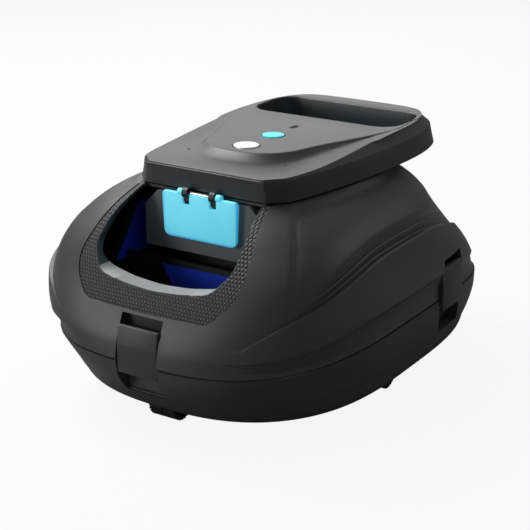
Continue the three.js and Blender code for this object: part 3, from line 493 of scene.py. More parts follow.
def hermite(table):
    """A smooth curve through rows of (key, values...), as a function of an array of keys."""
    keys = np.array([row[0] for row in table], float)
    values = np.array([row[1:] for row in table], float)
    slopes = np.gradient(values, keys, axis=0)

    def at(key):
        i = np.clip(np.searchsorted(keys, key) - 1, 0, len(keys) - 2)
        span = (keys[i + 1] - keys[i])[:, None]
        t = np.clip((key - keys[i])[:, None] / span, 0, 1)
        return (values[i] * (1 + 2 * t) * (1 - t) ** 2 + slopes[i] * span * t * (1 - t) ** 2
                + values[i + 1] * t * t * (3 - 2 * t) + slopes[i + 1] * span * t * t * (t - 1))

    return at


def step(low, high, value):
    """0 below low, 1 above high, smooth between. low may be the larger one."""
    t = np.clip((value - low) / (high - low), 0, 1)
    return t * t * (3 - 2 * t)


VERT, EDGE, FACE = bmesh.types.BMVert, bmesh.types.BMEdge, bmesh.types.BMFace


def only(kind, geom):
    """What an operator returned, of one kind."""
    return [g for g in geom if isinstance(g, kind)]


def polygon(bm, points, filled=False):
    """A closed loop of vertices through points in space, with a face if filled."""
    made = bmesh.ops.create_circle(bm, cap_ends=filled, segments=len(points), radius=1)["verts"]
    for vertex, place in zip(made, points):
        vertex.co = place
    return made


def prism(points, move):
    """The polygon through points, drawn out along move."""
    bm = bmesh.new()
    polygon(bm, points, filled=True)
    grown = bmesh.ops.extrude_face_region(bm, geom=bm.faces[:], use_keep_orig=True)["geom"]
    bmesh.ops.translate(bm, vec=move, verts=only(VERT, grown))
    bmesh.ops.recalc_face_normals(bm, faces=bm.faces)
    bm.normal_update()
    return bm


def lathe(profile, steps):
    """A solid turned from a profile of (radius, height), which may start and end on the axis."""
    bm = bmesh.new()
    polygon(bm, [(r, 0, z) for r, z in profile])
    axis_edges = [e for e in bm.edges if all(v.co.x < 1e-6 for v in e.verts)]
    bmesh.ops.delete(bm, geom=axis_edges, context="EDGES")
    bmesh.ops.spin(bm, geom=bm.verts[:] + bm.edges[:], cent=(0, 0, 0), axis=(0, 0, 1), dvec=(0, 0, 0),
                   angle=2 * math.pi, steps=steps, use_merge=True, use_duplicate=False)
    bmesh.ops.remove_doubles(bm, verts=bm.verts, dist=0.001)
    bmesh.ops.recalc_face_normals(bm, faces=bm.faces)
    return bm


print("tools ready")

# %% [markdown]
# The shell and the tray are each one skin wound round the body. A flat grid has the right faces
# already: its long side becomes the way round, its short side the way up, and a plan that changes
# smoothly with height bends it into place. Rows are crowded where an edge has to be crisp.

# %% Winding a skin
SHELL_PLAN = [  # height, inset from the side and the end, squareness of the front and the rear
    (66.3, 4, 0, 3, 6), (82, 1.5, 3, 3.5, 5), (100, 0, 10, 4, 4), (122, 2, 21, 4.5, 3),
    (142, 6, 34, 4.5, 2.5), (160, 16, 49, 4, 2.5), (175, 32, 64, 3.5, 2.5), (188, 56, 82, 3, 2.5),
]
TRAY_PLAN = [  # the ends slope up more than the sides, to clear steps and coves
    (10, 14, 40, 2.5, 3.5), (15, 8, 32, 2.5, 4.5), (30, 5, 18, 2.5, 5.5), (48, 4, 4, 2.5, 6),
    (66, 4, 0, 3, 6),
]
HALF_WIDTH, HALF_LENGTH = 150, 202
shell_plan, tray_plan = hermite(SHELL_PLAN), hermite(TRAY_PLAN)


def on_plan(plan, angle, height):
    """Points of the body's surface, from the angle round it and the height."""
    side, end, front, rear = plan(height).T
    square = np.where(np.sin(angle) < 0, front, rear)
    c, s = np.abs(np.cos(angle)) / (HALF_WIDTH - side), np.abs(np.sin(angle)) / (HALF_LENGTH - end)
    reach = (c ** square + s ** square) ** (-1 / square)
    return np.stack([reach * np.cos(angle), reach * np.sin(angle), height], axis=1)


def outward(plan, angle, height):
    """Unit normals of that surface."""
    round_it = on_plan(plan, angle + 1e-3, height) - on_plan(plan, angle - 1e-3, height)
    up_it = on_plan(plan, angle, height + 0.1) - on_plan(plan, angle, height - 0.1)
    normal = np.cross(round_it, up_it)
    return normal / np.linalg.norm(normal, axis=1)[:, None]


def wind(columns, rows, plan, height_of, relief_of, cap_rows, cap_height):
    """A grid wound round the body: rows up the side, then cap_rows in to the middle."""
    bm = bmesh.new()
    bmesh.ops.create_grid(bm, x_segments=columns, y_segments=rows + cap_rows, size=0.5)
    flat = np.array([v.co for v in bm.verts])
    angle = (flat[:, 0] + 0.5) * 2 * math.pi
    row = (flat[:, 1] + 0.5) * (rows + cap_rows)
    fs = np.degrees(np.arctan2(np.abs(np.sin(angle)), np.abs(np.cos(angle))))
    height = height_of(fs, np.minimum(row, rows))
    point = on_plan(plan, angle, height)
    point += outward(plan, angle, height) * relief_of(fs, height, point)[:, None]
    shrink = 1 - np.clip((row - rows) / cap_rows, 0, 1)
    point[:, :2] *= shrink[:, None]
    point[:, 2] = np.where(row > rows + 0.5, cap_height, point[:, 2])
    for vertex, place in zip(bm.verts, point):
        vertex.co = place
    bmesh.ops.remove_doubles(bm, verts=bm.verts, dist=0.01)
    bmesh.ops.recalc_face_normals(bm, faces=bm.faces)
    return bm


def near(bm, low, high):
    """Everything that touches a box, for the cutting operators."""
    def touches(face, i):
        reach = [v.co[i] for v in face.verts]
        return max(reach) >= low[i] and min(reach) <= high[i]

    faces = [f for f in bm.faces if all(touches(f, i) for i in range(3))]
    edges = {e for f in faces for e in f.edges}
    verts = {v for f in faces for v in f.verts}
    return [*verts, *edges, *faces]


def cut(bm, low, high, point, normal):
    """Cuts what touches the box along a plane, and keeps both sides."""
    bmesh.ops.bisect_plane(bm, geom=near(bm, low, high), dist=0.02, plane_co=point, plane_no=normal)


def sink(bm, inside, move, drop):
    """Pushes the faces for which inside(middle) is true, with walls round them. move places their
    vertices, and walls for which drop(wall) is true are left out."""
    region = [f for f in bm.faces if inside(f.calc_center_median())]
    made = bmesh.ops.extrude_face_region(bm, geom=region)["geom"]
    for vertex in only(VERT, made):
        move(vertex)
    bmesh.ops.delete(bm, geom=[f for f in region if f.is_valid], context="FACES_ONLY")
    spare = [f for f in bm.faces if drop(f)]
    bmesh.ops.delete(bm, geom=spare, context="FACES_ONLY")
    loose = [e for e in bm.edges if not e.link_faces]
    bmesh.ops.delete(bm, geom=loose, context="EDGES")


print("a skin can be wound, cut and sunk")

# %% [markdown]
# The shell's flanks carry a long wheel-arch line with pairs of raised ribs above it. On the real
# moulding they stiffen a wide thin wall. Here they are a relief added along the surface's normal:
# a small table says how far the wall stands out at each distance above the line.

# %% Lines of the flank
UPPER_LINE = [(0, 142), (20, 140), (40, 128), (55, 110), (68, 84), (90, 84)]  # degrees from the side, height
LOWER_LINE = [(0, 92), (30, 92), (60, 82), (90, 82)]
ABOVE = np.array([  # millimetres above the upper line, how far the wall stands out
    (-30, 0.0), (-6, 0.6), (-1.2, 0.9), (0, 0.4), (1.2, -4.0), (2.5, -4.6), (8.2, -2.2), (9.0, -2.4),
    (9.9, -4.2), (11, -4.3), (17.5, -1.0), (18.7, -0.9), (30, -0.2), (40, 0.0),
])
BELOW = np.array([  # millimetres above the lower line
    (-40, 0.0), (-25, -1.2), (-12, -3.0), (-3, -2.4), (-1, -1.5), (0, -0.4), (1.2, 0.3), (6, 0.2), (60, 0.0),
])
GROOVE_LINE = [(125, 52), (155, 50), (188, 47)]  # height, degrees from the side
ROOF, SHELL_FOOT, TRAY_RIM = 188.0, 66.3, 66.0
SHELL_ROWS = 72
GROOVE_TOP, GROOVE_ROUND, GROOVE_DEPTH = 184.5, 8, 1.3


def arch_lines(fs):
    """Heights of the upper and the lower line."""
    upper, lower = hermite(UPPER_LINE)(fs)[:, 0], hermite(LOWER_LINE)(fs)[:, 0]
    return np.maximum(upper, lower + 11), lower


def shell_height(fs, row):
    """Height of each grid row, which follows the lines of the flank."""
    upper, lower = arch_lines(fs)
    top, foot = np.full_like(fs, ROOF), np.full_like(fs, SHELL_FOOT)
    keys = [(0, foot), (1, foot + 0.7), (5, lower - 12), (8, lower - 3), (9, lower - 1),
            (10, lower), (11, lower + 1.2), (12, lower + 2.5), (20, upper - 6), (22, upper - 2),
            (23, upper - 1), (24, upper), (25, upper + 1.2), (26, upper + 2.5), (29, upper + 8.2),
            (30, upper + 9), (31, upper + 9.9), (32, upper + 11), (35, upper + 17.5),
            (36, upper + 18.7), (38, upper + 24), (58, top - 9), (SHELL_ROWS, top)]
    height = np.zeros_like(fs)
    for (low, a), (high, b) in zip(keys, keys[1:]):
        share = np.clip((row - low) / (high - low), 0, 1)
        height = np.where(row >= low, a + (b - a) * share, height)
    return height


def shell_relief(fs, height, point):
    """How far the wall stands out of the plain surface."""
    upper, lower = arch_lines(fs)
    flank = step(70, 44, fs)
    ribs = np.where(height - upper > 1.0, step(50, 40, fs), 1.0)
    arch = np.interp(height - upper, ABOVE[:, 0], ABOVE[:, 1])
    base = np.interp(height - upper, [-30, 0, 1.2, 11, 30, 40], [0, 0.4, -3.6, -2.6, -0.2, 0])
    out = flank * (base + (arch - base) * ribs)
    out += step(74, 60, fs) * np.interp(height - lower, BELOW[:, 0], BELOW[:, 1]) * step(66, 70, height)
    line = hermite(GROOVE_LINE)(height)[:, 0]
    reach = np.hypot(point[:, 0], point[:, 1])
    beside = np.radians(fs - line) * reach
    over = height - GROOVE_TOP
    inside = np.maximum(beside, over)
    corner = np.hypot(np.maximum(beside + GROOVE_ROUND, 0), np.maximum(over + GROOVE_ROUND, 0)) - GROOVE_ROUND
    away = np.where((beside > -GROOVE_ROUND) & (over > -GROOVE_ROUND), corner, inside)
    depth = GROOVE_DEPTH * step(122, 146, height)
    out -= depth * np.exp(-(away / 2.6) ** 2)
    out -= depth * step(2.0, -3.0, away)
    out[height < SHELL_FOOT + 0.3] -= 0.7
    return out


# %% [markdown]
# The window and its rim are straight runs with round corners, drawn for the right half and mirrored.
# A point is tested against them to pick faces, so one distance function serves for both.

# %% Window outlines
def mirrored(points):
    """A closed outline from its right half, top to bottom."""
    return [(x, z) for x, z in points] + [(-x, z) for x, z in reversed(points) if x > 0]


def rounded(points, radius, steps=4):
    """The same outline with an arc in every corner, as wide as its sides allow."""
    result = []
    for i, here in enumerate(points):
        before, after = Vector(points[i - 1]), Vector(points[(i + 1) % len(points)])
        here = Vector(here)
        a, b = (before - here), (after - here)
        trim = min(radius, a.length / 2.2, b.length / 2.2)
        start, end = here + a.normalized() * trim, here + b.normalized() * trim
        for k in range(steps + 1):
            t = k / steps
            result.append(tuple((1 - t) ** 2 * start + 2 * t * (1 - t) * here + t * t * end))
    return result


def side_of(outline, x, z):
    """How far (x, z) is outside an outline; negative inside. Works on any simple outline."""
    inside, best = False, 1e9
    for (ax, az), (bx, bz) in zip(outline, outline[1:] + outline[:1]):
        if (az > z) != (bz > z) and x < (bx - ax) * (z - az) / (bz - az) + ax:
            inside = not inside
        dx, dz = bx - ax, bz - az
        t = max(0, min(1, ((x - ax) * dx + (z - az) * dz) / (dx * dx + dz * dz)))
        best = min(best, math.hypot(x - ax - t * dx, z - az - t * dz))
    return -best if inside else best


WINDOW = rounded(mirrored([(60.5, 196), (70, 168), (71.2, 147), (57, 130.5), (30, 125.8), (0, 124)]), 7)
RIM = rounded(mirrored([(64, 196), (74, 176.5), (80, 161), (84, 140), (79, 126), (63.5, 109), (0, 107.3)]), 7)
print("window", len(WINDOW), "points, rim", len(RIM), "points")

# %% [markdown]
# With the skin wound, each side of the outlines is cut through the faces next to it. Cutting first
# keeps the window's edge exact, however coarse the grid is.

# %% Shell
shell = wind(480, SHELL_ROWS, shell_plan, shell_height, shell_relief, 8, ROOF)
print("wound:", len(shell.faces), "faces")
WINDOW_FACE = 98.5  # how far from the middle the window reaches
REVEAL, RIM_DROP = 8.0, 0.8
LATCH_HALF, LATCH_ROOM, LATCH_DEEP = 21.3, 105.0, 184.0
SIDE_LATCH, SIDE_DEEP = 92.0, 133.0
for end in (-1, 1):
    for outline in (WINDOW, RIM):
        for (ax, az), (bx, bz) in zip(outline, outline[1:] + outline[:1]):
            if math.hypot(bx - ax, bz - az) < 0.02:
                continue
            low = [min(ax, bx) - 1.5, WINDOW_FACE if end > 0 else -205, min(az, bz) - 1.5]
            high = [max(ax, bx) + 1.5, 205 if end > 0 else -WINDOW_FACE, max(az, bz) + 1.5]
            cut(shell, low, high, (ax, 0, az), (bz - az, 0, ax - bx))
    back_edge = end * WINDOW_FACE
    cut(shell, (-70, back_edge - 9, 180), (70, back_edge + 9, 190), (0, back_edge, 0), (0, 1, 0))
glass = [f for f in shell.faces if abs(f.calc_center_median().y) > WINDOW_FACE
         and side_of(WINDOW, f.calc_center_median().x, f.calc_center_median().z) < 0]
bmesh.ops.delete(shell, geom=glass, context="FACES")
print("windows cut:", len(glass), "faces taken out")

# %% [markdown]
# The rim of the window is a face of its own, a little lower than the shell, and textured. It is
# split off, dropped, and joined again by a narrow wall. The window's edge then turns inwards.

# %% Rim and reveal
rim_faces = [f for f in shell.faces if abs(f.calc_center_median().y) > WINDOW_FACE
             and side_of(RIM, f.calc_center_median().x, f.calc_center_median().z) < 0]
for face in rim_faces:
    face.material_index = 1
bmesh.ops.split(shell, geom=rim_faces)
rim_faces = [f for f in shell.faces if f.material_index == 1]
rim_verts = {v for f in rim_faces for v in f.verts}
outer = [e for f in rim_faces for e in f.edges if len(e.link_faces) == 1
         and all(abs(side_of(RIM, v.co.x, v.co.z)) < 0.06 for v in e.verts)]
walls = bmesh.ops.extrude_edge_only(shell, edges=list(set(outer)))["geom"]
for face in only(FACE, walls):
    face.material_index = 0
shell.normal_update()
for vertex, normal in [(v, v.normal.copy()) for v in rim_verts]:
    outwards = Vector((vertex.co.x * 0.4, vertex.co.y, 0)).normalized()
    vertex.co -= (normal if normal.dot(outwards) > 0.2 else outwards) * RIM_DROP
bmesh.ops.remove_doubles(shell, verts=shell.verts, dist=0.005)


def window_edges(bm):
    """The open edges round both windows."""
    return [e for e in bm.edges if len(e.link_faces) == 1 and abs(e.verts[0].co.y) > WINDOW_FACE - 1
            and all(v.co.z > 115 and abs(side_of(WINDOW, v.co.x, v.co.z)) < 1.2 for v in e.verts)]


edges = window_edges(shell)
for inwards, depth in ((0.7, 0.7), (0.0, REVEAL)):
    made = bmesh.ops.extrude_edge_only(shell, edges=edges)["geom"]
    edges = only(EDGE, made)
    for vertex in only(VERT, made):
        x, z = vertex.co.x, vertex.co.z
        aim = Vector((-x, 160 - z))
        aim = Vector((aim.x if abs(x) > 40 else aim.x * 0.3, max(aim.y, 0) if z < 150 else 0)).normalized()
        vertex.co += Vector((aim.x * inwards, 0, aim.y * inwards))
        low = depth * (1 + 1.1 * float(step(140, 128, z))) if depth > 1 else depth
        vertex.co.y -= math.copysign(low, vertex.co.y)
    # Reveal faces below 134 mm take the light grey that paints the light they catch.
    for face in only(FACE, made):
        face.material_index = 2 if depth > 1 and face.calc_center_median().z < 134 else 0
print("rim and reveal:", len(shell.faces), "faces")

# %% [markdown]
# A latch lies in a square pocket, half in the shell and half in the tray. The same cut and push make
# both halves: outline the pocket, press its faces back flat, and leave it open at the parting line.

# %% Latch seats of the shell
LATCHES = [  # name, middle of its width, the axis its face looks along, and which way
    ("front", 0.0, 1, -1), ("rear", 0.0, 1, 1), ("right", SIDE_LATCH, 0, 1), ("left", SIDE_LATCH, 0, -1),
]
SEAT_FOOT, SEAT_TOP = 34, 67
SHELL_SEAT_FOOT = 60


def cut_seat(bm, middle, axis, sign, low, high, back):
    """A square pocket for a latch in the face that looks along axis, from low to high."""
    across = 1 - axis
    for edge_place in (middle - LATCH_HALF, middle + LATCH_HALF):
        lo, hi = [0, 0, low - 2], [0, 0, high + 2]
        lo[across], hi[across] = edge_place - 2, edge_place + 2
        lo[axis], hi[axis] = (back, 210) if sign > 0 else (-210, -back)
        point, normal = [0, 0, 0], [0, 0, 0]
        point[across], normal[across] = edge_place, 1
        cut(bm, lo, hi, point, normal)
    for level in (low, high):
        lo, hi = [0, 0, level - 2], [0, 0, level + 2]
        lo[across], hi[across] = middle - LATCH_HALF - 4, middle + LATCH_HALF + 4
        lo[axis], hi[axis] = (back, 210) if sign > 0 else (-210, -back)
        cut(bm, lo, hi, (0, 0, level), (0, 0, 1))

    def inside(c):
        return abs(c[across] - middle) < LATCH_HALF and low < c.z < high and c[axis] * sign > back - 8

    def flatten(vertex):
        vertex.co[axis] = sign * back

    def open_rim(face):
        zs = [v.co.z for v in face.verts]
        if bm is shell:
            ends = SHELL_FOOT - 0.15 < min(zs) and max(zs) < SHELL_FOOT + 0.15
        else:
            ends = TRAY_RIM - 0.05 < min(zs)
        return ends and abs(face.calc_center_median()[across] - middle) < LATCH_HALF

    sink(bm, inside, flatten, open_rim)


for name, middle, axis, sign in LATCHES:
    cut_seat(shell, middle, axis, sign, SHELL_SEAT_FOOT, LATCH_ROOM, LATCH_DEEP if axis == 1 else SIDE_DEEP)
print("seats in the shell:", len(shell.faces), "faces")

# %% [markdown]
# A moulded skin has an even wall. A Solidify modifier adds it on the inside, where it can't
# disturb the outside shape.

# %% Shell object
def thicken(made, wall):
    """Gives a skin its wall, on the inside."""
    solid = made.modifiers.new("wall", "SOLIDIFY")
    solid.thickness, solid.offset = wall / 1000, -1.0
    solid.use_rim = True


SKIN_WALL = 2.4
shell_finishes = [shell_finish, band_finish, sill_painted_light]
thicken(piece("shell_skin", shell, "upper", ["upper_shell"], shell_finishes), SKIN_WALL)

# %% [markdown]
# The tray is wound in the same way from the parting line down, and its floor closes in the middle.
# Wheel wells, the intake and the lower half of each latch seat are pushed in afterwards.

# %% Tray
TRAY_ROWS, TRAY_FOOT = 36, 10.0


def tray_height(fs, row):
    """Height of each grid row, with a ledge under the parting line."""
    return np.interp(row, [0, 1, 2, 14, 26, 32, TRAY_ROWS],
                     [TRAY_RIM, 65.1, 64.8, 45.0, 26.0, 14.0, TRAY_FOOT])


def tray_relief(fs, height, point):
    """Sets the ledge back, so that the parting line is a dark groove."""
    out = np.zeros_like(fs)
    out[height > 65.0] -= 2.4
    return out


tray = wind(360, TRAY_ROWS, tray_plan, tray_height, tray_relief, 10, TRAY_FOOT)
for name, middle, axis, sign in LATCHES:
    cut_seat(tray, middle, axis, sign, SEAT_FOOT, SEAT_TOP, LATCH_DEEP if axis == 1 else SIDE_DEEP)
WELLS = [  # middle and half sizes of the four wheel wells and the intake
    (0, -154, 15.6, 16), (0, 154, 15.6, 16), (126, 0, 7.6, 16), (-126, 0, 7.6, 16), (0, 0, 74, 24),
]
WELL_TOP = 30.0
for x, y, half_x, half_y in WELLS:
    for a, b, normal in ((x - half_x, 0, 0), (x + half_x, 0, 0), (y - half_y, 0, 1), (y + half_y, 0, 1)):
        low, high = [x - half_x - 1, y - half_y - 1, 9], [x + half_x + 1, y + half_y + 1, 34]
        point, facing = [0, 0, 0], [0, 0, 0]
        point[normal], facing[normal] = a, 1
        cut(tray, low, high, point, facing)

    def in_well(c, x=x, y=y, half_x=half_x, half_y=half_y):
        return abs(c.x - x) < half_x and abs(c.y - y) < half_y and c.z < 29

    def raise_well(vertex):
        vertex.co.z = WELL_TOP

    sink(tray, in_well, raise_well, lambda face: False)
thicken(piece("tray_skin", tray, "base", ["debris_tray"], tray_finish), SKIN_WALL)

# %% [markdown]
# ## Top module
# The module is a stack of outlines with equal numbers of points, each drawn from the one below by
# extruding its edge. Outlines are taken at the same directions from one centre, so no face twists.

# %% Outlines of the module
HEAD_SIDES = [
    (63, -100), (77, -86), (88, -42), (96, 14), (100, 75), (98, 126), (88, 164), (70, 185), (46, 192),
]
HUB = Vector((0, 40))


def smooth_side(points, first, steps=8):
    """Catmull-Rom curve through points from index first on; earlier ones stay corners."""
    result = [Vector(p) for p in points[:first]]
    for i in range(first, len(points) - 1):
        p0, p1, p2 = Vector(points[max(i - 1, first - 1)]), Vector(points[i]), Vector(points[i + 1])
        p3 = Vector(points[min(i + 2, len(points) - 1)])
        for k in range(steps):
            t = k / steps
            result.append(0.5 * (2 * p1 + (p2 - p0) * t + (2 * p0 - 5 * p1 + 4 * p2 - p3) * t * t
                                 + (3 * p1 - p0 - 3 * p2 + p3) * t ** 3))
    return result + [Vector(points[-1])]


right = smooth_side(HEAD_SIDES, 1) + [Vector((24, 192.8)), Vector((0, 193))]
HEAD_PLAN = right + [Vector((-p.x, p.y)) for p in reversed(right) if p.x > 0]


def bezier(a, b, c, d, steps=14):
    """Points of a cubic curve, its end left out."""
    a, b, c, d = (Vector(p) for p in (a, b, c, d))
    return [((1 - t) ** 3 * a + 3 * t * (1 - t) ** 2 * b + 3 * t * t * (1 - t) * c + t ** 3 * d)
            for t in (k / steps for k in range(steps))]


foot = (bezier((0, -54), (26, -54), (44, -44), (50, -10)) + bezier((50, -10), (60, 30), (92, 70), (88, 161))
        + bezier((88, 161), (84, 178), (70, 185), (50, 187)) + [Vector((50, 187)), Vector((0, 188))])
PLATFORM = foot + [Vector((-p.x, p.y)) for p in reversed(foot) if p.x > 0]


def inset(points, amount):
    """An outline moved inwards, by amount(y) at each point, with its corners kept."""
    result = []
    for i, here in enumerate(points):
        before, after = points[i - 1], points[(i + 1) % len(points)]
        a, b = (here - before).normalized(), (after - here).normalized()
        normal = Vector((-(a.y + b.y), a.x + b.x))
        normal = normal.normalized() / max(0.4, normal.length / 2)
        result.append(here + normal * amount(here.y))
    return result


def directions(count, extra):
    """Angles round the hub: evenly spread, and one towards each extra point."""
    angles = {round(2 * math.pi * k / count, 6) for k in range(count)}
    for p in extra:
        angles.add(round(math.atan2(p.y - HUB.y, p.x - HUB.x) % (2 * math.pi), 6))
    return sorted(angles)


NEAR_CORNERS = [(63, -100), (62.4, -100), (77, -86), (76.4, -86.7), (77.2, -85.2)]
CORNERS = [Vector((s * x, y)) for s in (-1, 1) for x, y in NEAR_CORNERS]
AROUND = directions(260, CORNERS)


def radii(points):
    """Distance from the hub to an outline in every direction."""
    result = []
    for angle in AROUND:
        ray = Vector((math.cos(angle), math.sin(angle)))
        best = 0.0
        for a, b in zip(points, points[1:] + points[:1]):
            side = b - a
            cross = ray.x * side.y - ray.y * side.x
            if abs(cross) < 1e-9:
                continue
            rel = a - HUB
            t = (rel.x * side.y - rel.y * side.x) / cross
            u = (rel.x * ray.y - rel.y * ray.x) / cross
            if t > 0 and -1e-6 <= u <= 1 + 1e-6:
                best = max(best, t)
        result.append(best)
    return np.array(result)


RAYS = np.array([(math.cos(a), math.sin(a)) for a in AROUND])
print("module outlines in", len(AROUND), "directions")

# %% [markdown]
# From the foot up: a lead-in, the leaning side, a crease, a facet that widens to the rear, the deck,
# and the edge of the control panel, which fades out where it meets the deck's edge.

# %% Levels of the module
HEAD_FOOT = 189.3
plan_reach, platform_reach = radii(HEAD_PLAN), radii(PLATFORM)
crease_plan = [Vector((p.x * 0.955, -100 + (p.y + 100) * 0.994)) for p in HEAD_PLAN]
deck_plan = inset(crease_plan, lambda y: 1.4 + 9.0 * float(step(-95, 70, y)))
crease_reach, deck_reach = radii(crease_plan), radii(deck_plan)


def ring(reach, height):
    """Points of one level. height is a number, or one for each direction."""
    flat = RAYS * reach[:, None] + np.array([HUB.x, HUB.y])
    return np.concatenate([flat, np.broadcast_to(height, len(reach))[:, None]], axis=1)


def deck_height(reach):
    """The lower deck rises towards the handle until it meets the raised panel."""
    y = (RAYS * reach[:, None])[:, 1] + HUB.y
    return 209.3 + 6.6 * step(-62, 90, y)


def raised(offset, height):
    """A level of the panel's edge, kept inside the deck."""
    reach = np.minimum(platform_reach + offset, deck_reach - 1.2 + 0.25 * offset)
    floor = deck_height(reach)
    return ring(reach, np.maximum(floor + 0.02, height) if height else floor)


levels = [
    ring(plan_reach - 3.0, HEAD_FOOT), ring(plan_reach - 0.5, HEAD_FOOT), ring(plan_reach, HEAD_FOOT + 0.5),
    ring(plan_reach + (crease_reach - plan_reach) * 0.55, 199.0), ring(crease_reach + 0.25, 207.0),
    ring(crease_reach, 207.5), ring(crease_reach - 0.4, 207.8),
    ring(deck_reach + 0.5, deck_height(deck_reach) - 0.35), ring(deck_reach, deck_height(deck_reach)),
    ring(deck_reach - 0.7, deck_height(deck_reach) + 0.05),
    raised(15, None), raised(11, 210.7), raised(7, 212.4), raised(4, 214.0), raised(2.5, 214.8),
    raised(1.2, 215.6), raised(0.4, 216.05), raised(-0.8, 216.25), raised(-2.4, 216.3),
]
print(len(levels), "levels from", levels[0][0][2], "to", levels[-1][0][2])

# %% [markdown]
# The holes for the finger slot, the button, the cap and the status window are loops in the flat top.
# One fill joins them with the panel's edge, and each loop is then carried down as a wall.

# %% Module
def loop(bm, points, layer):
    """A closed edge loop through points, each vertex numbered in layer."""
    made = polygon(bm, points)
    for i, vertex in enumerate(made):
        vertex[layer] = i
    return list({e for v in made for e in v.link_edges})


def climb(bm, edges, points, layer):
    """Extrudes a loop to its next level."""
    made = bmesh.ops.extrude_edge_only(bm, edges=edges)["geom"]
    for vertex in only(VERT, made):
        vertex.co = points[vertex[layer]]
    return only(EDGE, made)


def rounded_box(half_x, half_y, radius, middle_y, steps=8):
    """Points of a rectangle with round corners."""
    result = []
    for corner, (sx, sy) in enumerate(((1, 1), (-1, 1), (-1, -1), (1, -1))):
        for k in range(steps + 1):
            turn = math.pi / 2 * (corner + k / steps)
            result.append((sx * (half_x - radius) + radius * math.cos(turn),
                           middle_y + sy * (half_y - radius) + radius * math.sin(turn)))
    return result


def round_hole(radius, middle_y, steps=40):
    """Points of a circle on the middle line."""
    turns = [2 * math.pi * k / steps for k in range(steps)]
    return [(radius * math.cos(turn), middle_y + radius * math.sin(turn)) for turn in turns]


def at_level(flat, z):
    """Flat points lifted to one height."""
    return [(x, y, z) for x, y in flat]


head = bmesh.new()
mark = head.verts.layers.int.new("place")
edges = loop(head, levels[0], mark)
for level in levels[1:]:
    edges = climb(head, edges, level, mark)
TOP = 216.3
BUTTON_Y, CAP_Y = -33.6, 10.9
holes = [  # name, outline at an outset, and the outset and drop of each level of its wall
    ("slot", lambda d: rounded_box(79 + d, 34 + d, 20 + d, 126),
     [(2.2, 0), (1.0, -0.35), (0.3, -1.0), (0, -2.2), (0, -26)]),
    ("button", lambda d: round_hole(12.5 + d, BUTTON_Y), [(0.5, 0), (0, -0.5), (0, -6.5)]),
    ("cap", lambda d: round_hole(11.1 + d, CAP_Y), [(0.5, 0), (0, -0.5), (0, -3.7)]),
    ("window", lambda d: rounded_box(2.6 + d, 6.4 + d, 2.5 + d, 48), [(0.3, 0), (0, -0.3), (0, -1.5)]),
]
rims = list(edges)
for name, outline, steps_down in holes:
    edges = loop(head, at_level(outline(steps_down[0][0]), TOP), mark)
    rims += edges
    for outset, drop in steps_down[1:]:
        edges = climb(head, edges, at_level(outline(outset), TOP + drop), mark)
    if name != "slot":
        bmesh.ops.edgeloop_fill(head, edges=edges)
bmesh.ops.triangle_fill(head, use_beauty=True, use_dissolve=False, edges=rims, normal=(0, 0, 1))
bmesh.ops.recalc_face_normals(head, faces=head.faces)
piece("head_skin", head, "upper", ["head_cover"], head_finish, crease=24)

# %% [markdown]
# ## Flaps, latches and wheels
# These are plates and turned parts. A plate starts as one outline, becomes a slab by extruding its
# face, and gets a rounded edge from the bevel operator, as a moulded part has.

# %% Plate
def slab(outline, thickness, edge):
    """A plate with that outline in x and z, from y 0 to y thickness, its edges rounded."""
    bm = prism([(x, 0, z) for x, z in outline], (0, thickness, 0))
    hard = [e for e in bm.edges if e.calc_face_angle(0) > math.radians(35)]
    bmesh.ops.bevel(bm, geom=hard, offset=edge, offset_type="OFFSET", affect="EDGES", segments=3,
                    profile=0.5, material=-1, clamp_overlap=True)
    return bm


def flipped(bm, end):
    """The same shape turned half round the middle for the rear."""
    if end > 0:
        bmesh.ops.rotate(bm, cent=(0, 0, 0), matrix=Matrix.Rotation(math.pi, 3, "Z"), verts=bm.verts)
    return bm


def merged(*shapes):
    """Several finished shapes as one mesh."""
    result = bmesh.new()
    for shape in shapes:
        data = bpy.data.meshes.new("part")
        shape.to_mesh(data)
        shape.free()
        result.from_mesh(data)
        bpy.data.meshes.remove(data)
    return result


def rod(radius, length, place):
    """A round bar from side to side with small chamfers, its middle at place."""
    bm = bmesh.new()
    bmesh.ops.create_cone(bm, cap_ends=True, segments=32, radius1=radius, radius2=radius, depth=length)
    bm.normal_update()
    rim = [e for e in bm.edges if abs(e.verts[0].co.z - e.verts[1].co.z) < 1e-4]
    bmesh.ops.bevel(bm, geom=rim, offset=min(0.4, radius / 4), affect="EDGES", segments=2, profile=0.5,
                    material=-1)
    bmesh.ops.rotate(bm, cent=(0, 0, 0), matrix=Matrix.Rotation(math.pi / 2, 3, "Y"), verts=bm.verts)
    bmesh.ops.translate(bm, vec=place, verts=bm.verts)
    return bm


print("plates and rods can be made")

# %% [markdown]
# The flap hangs from its pin by two lugs, with a notch for each hook. It is a plate with generous
# corners, since a thin swinging part must not catch.

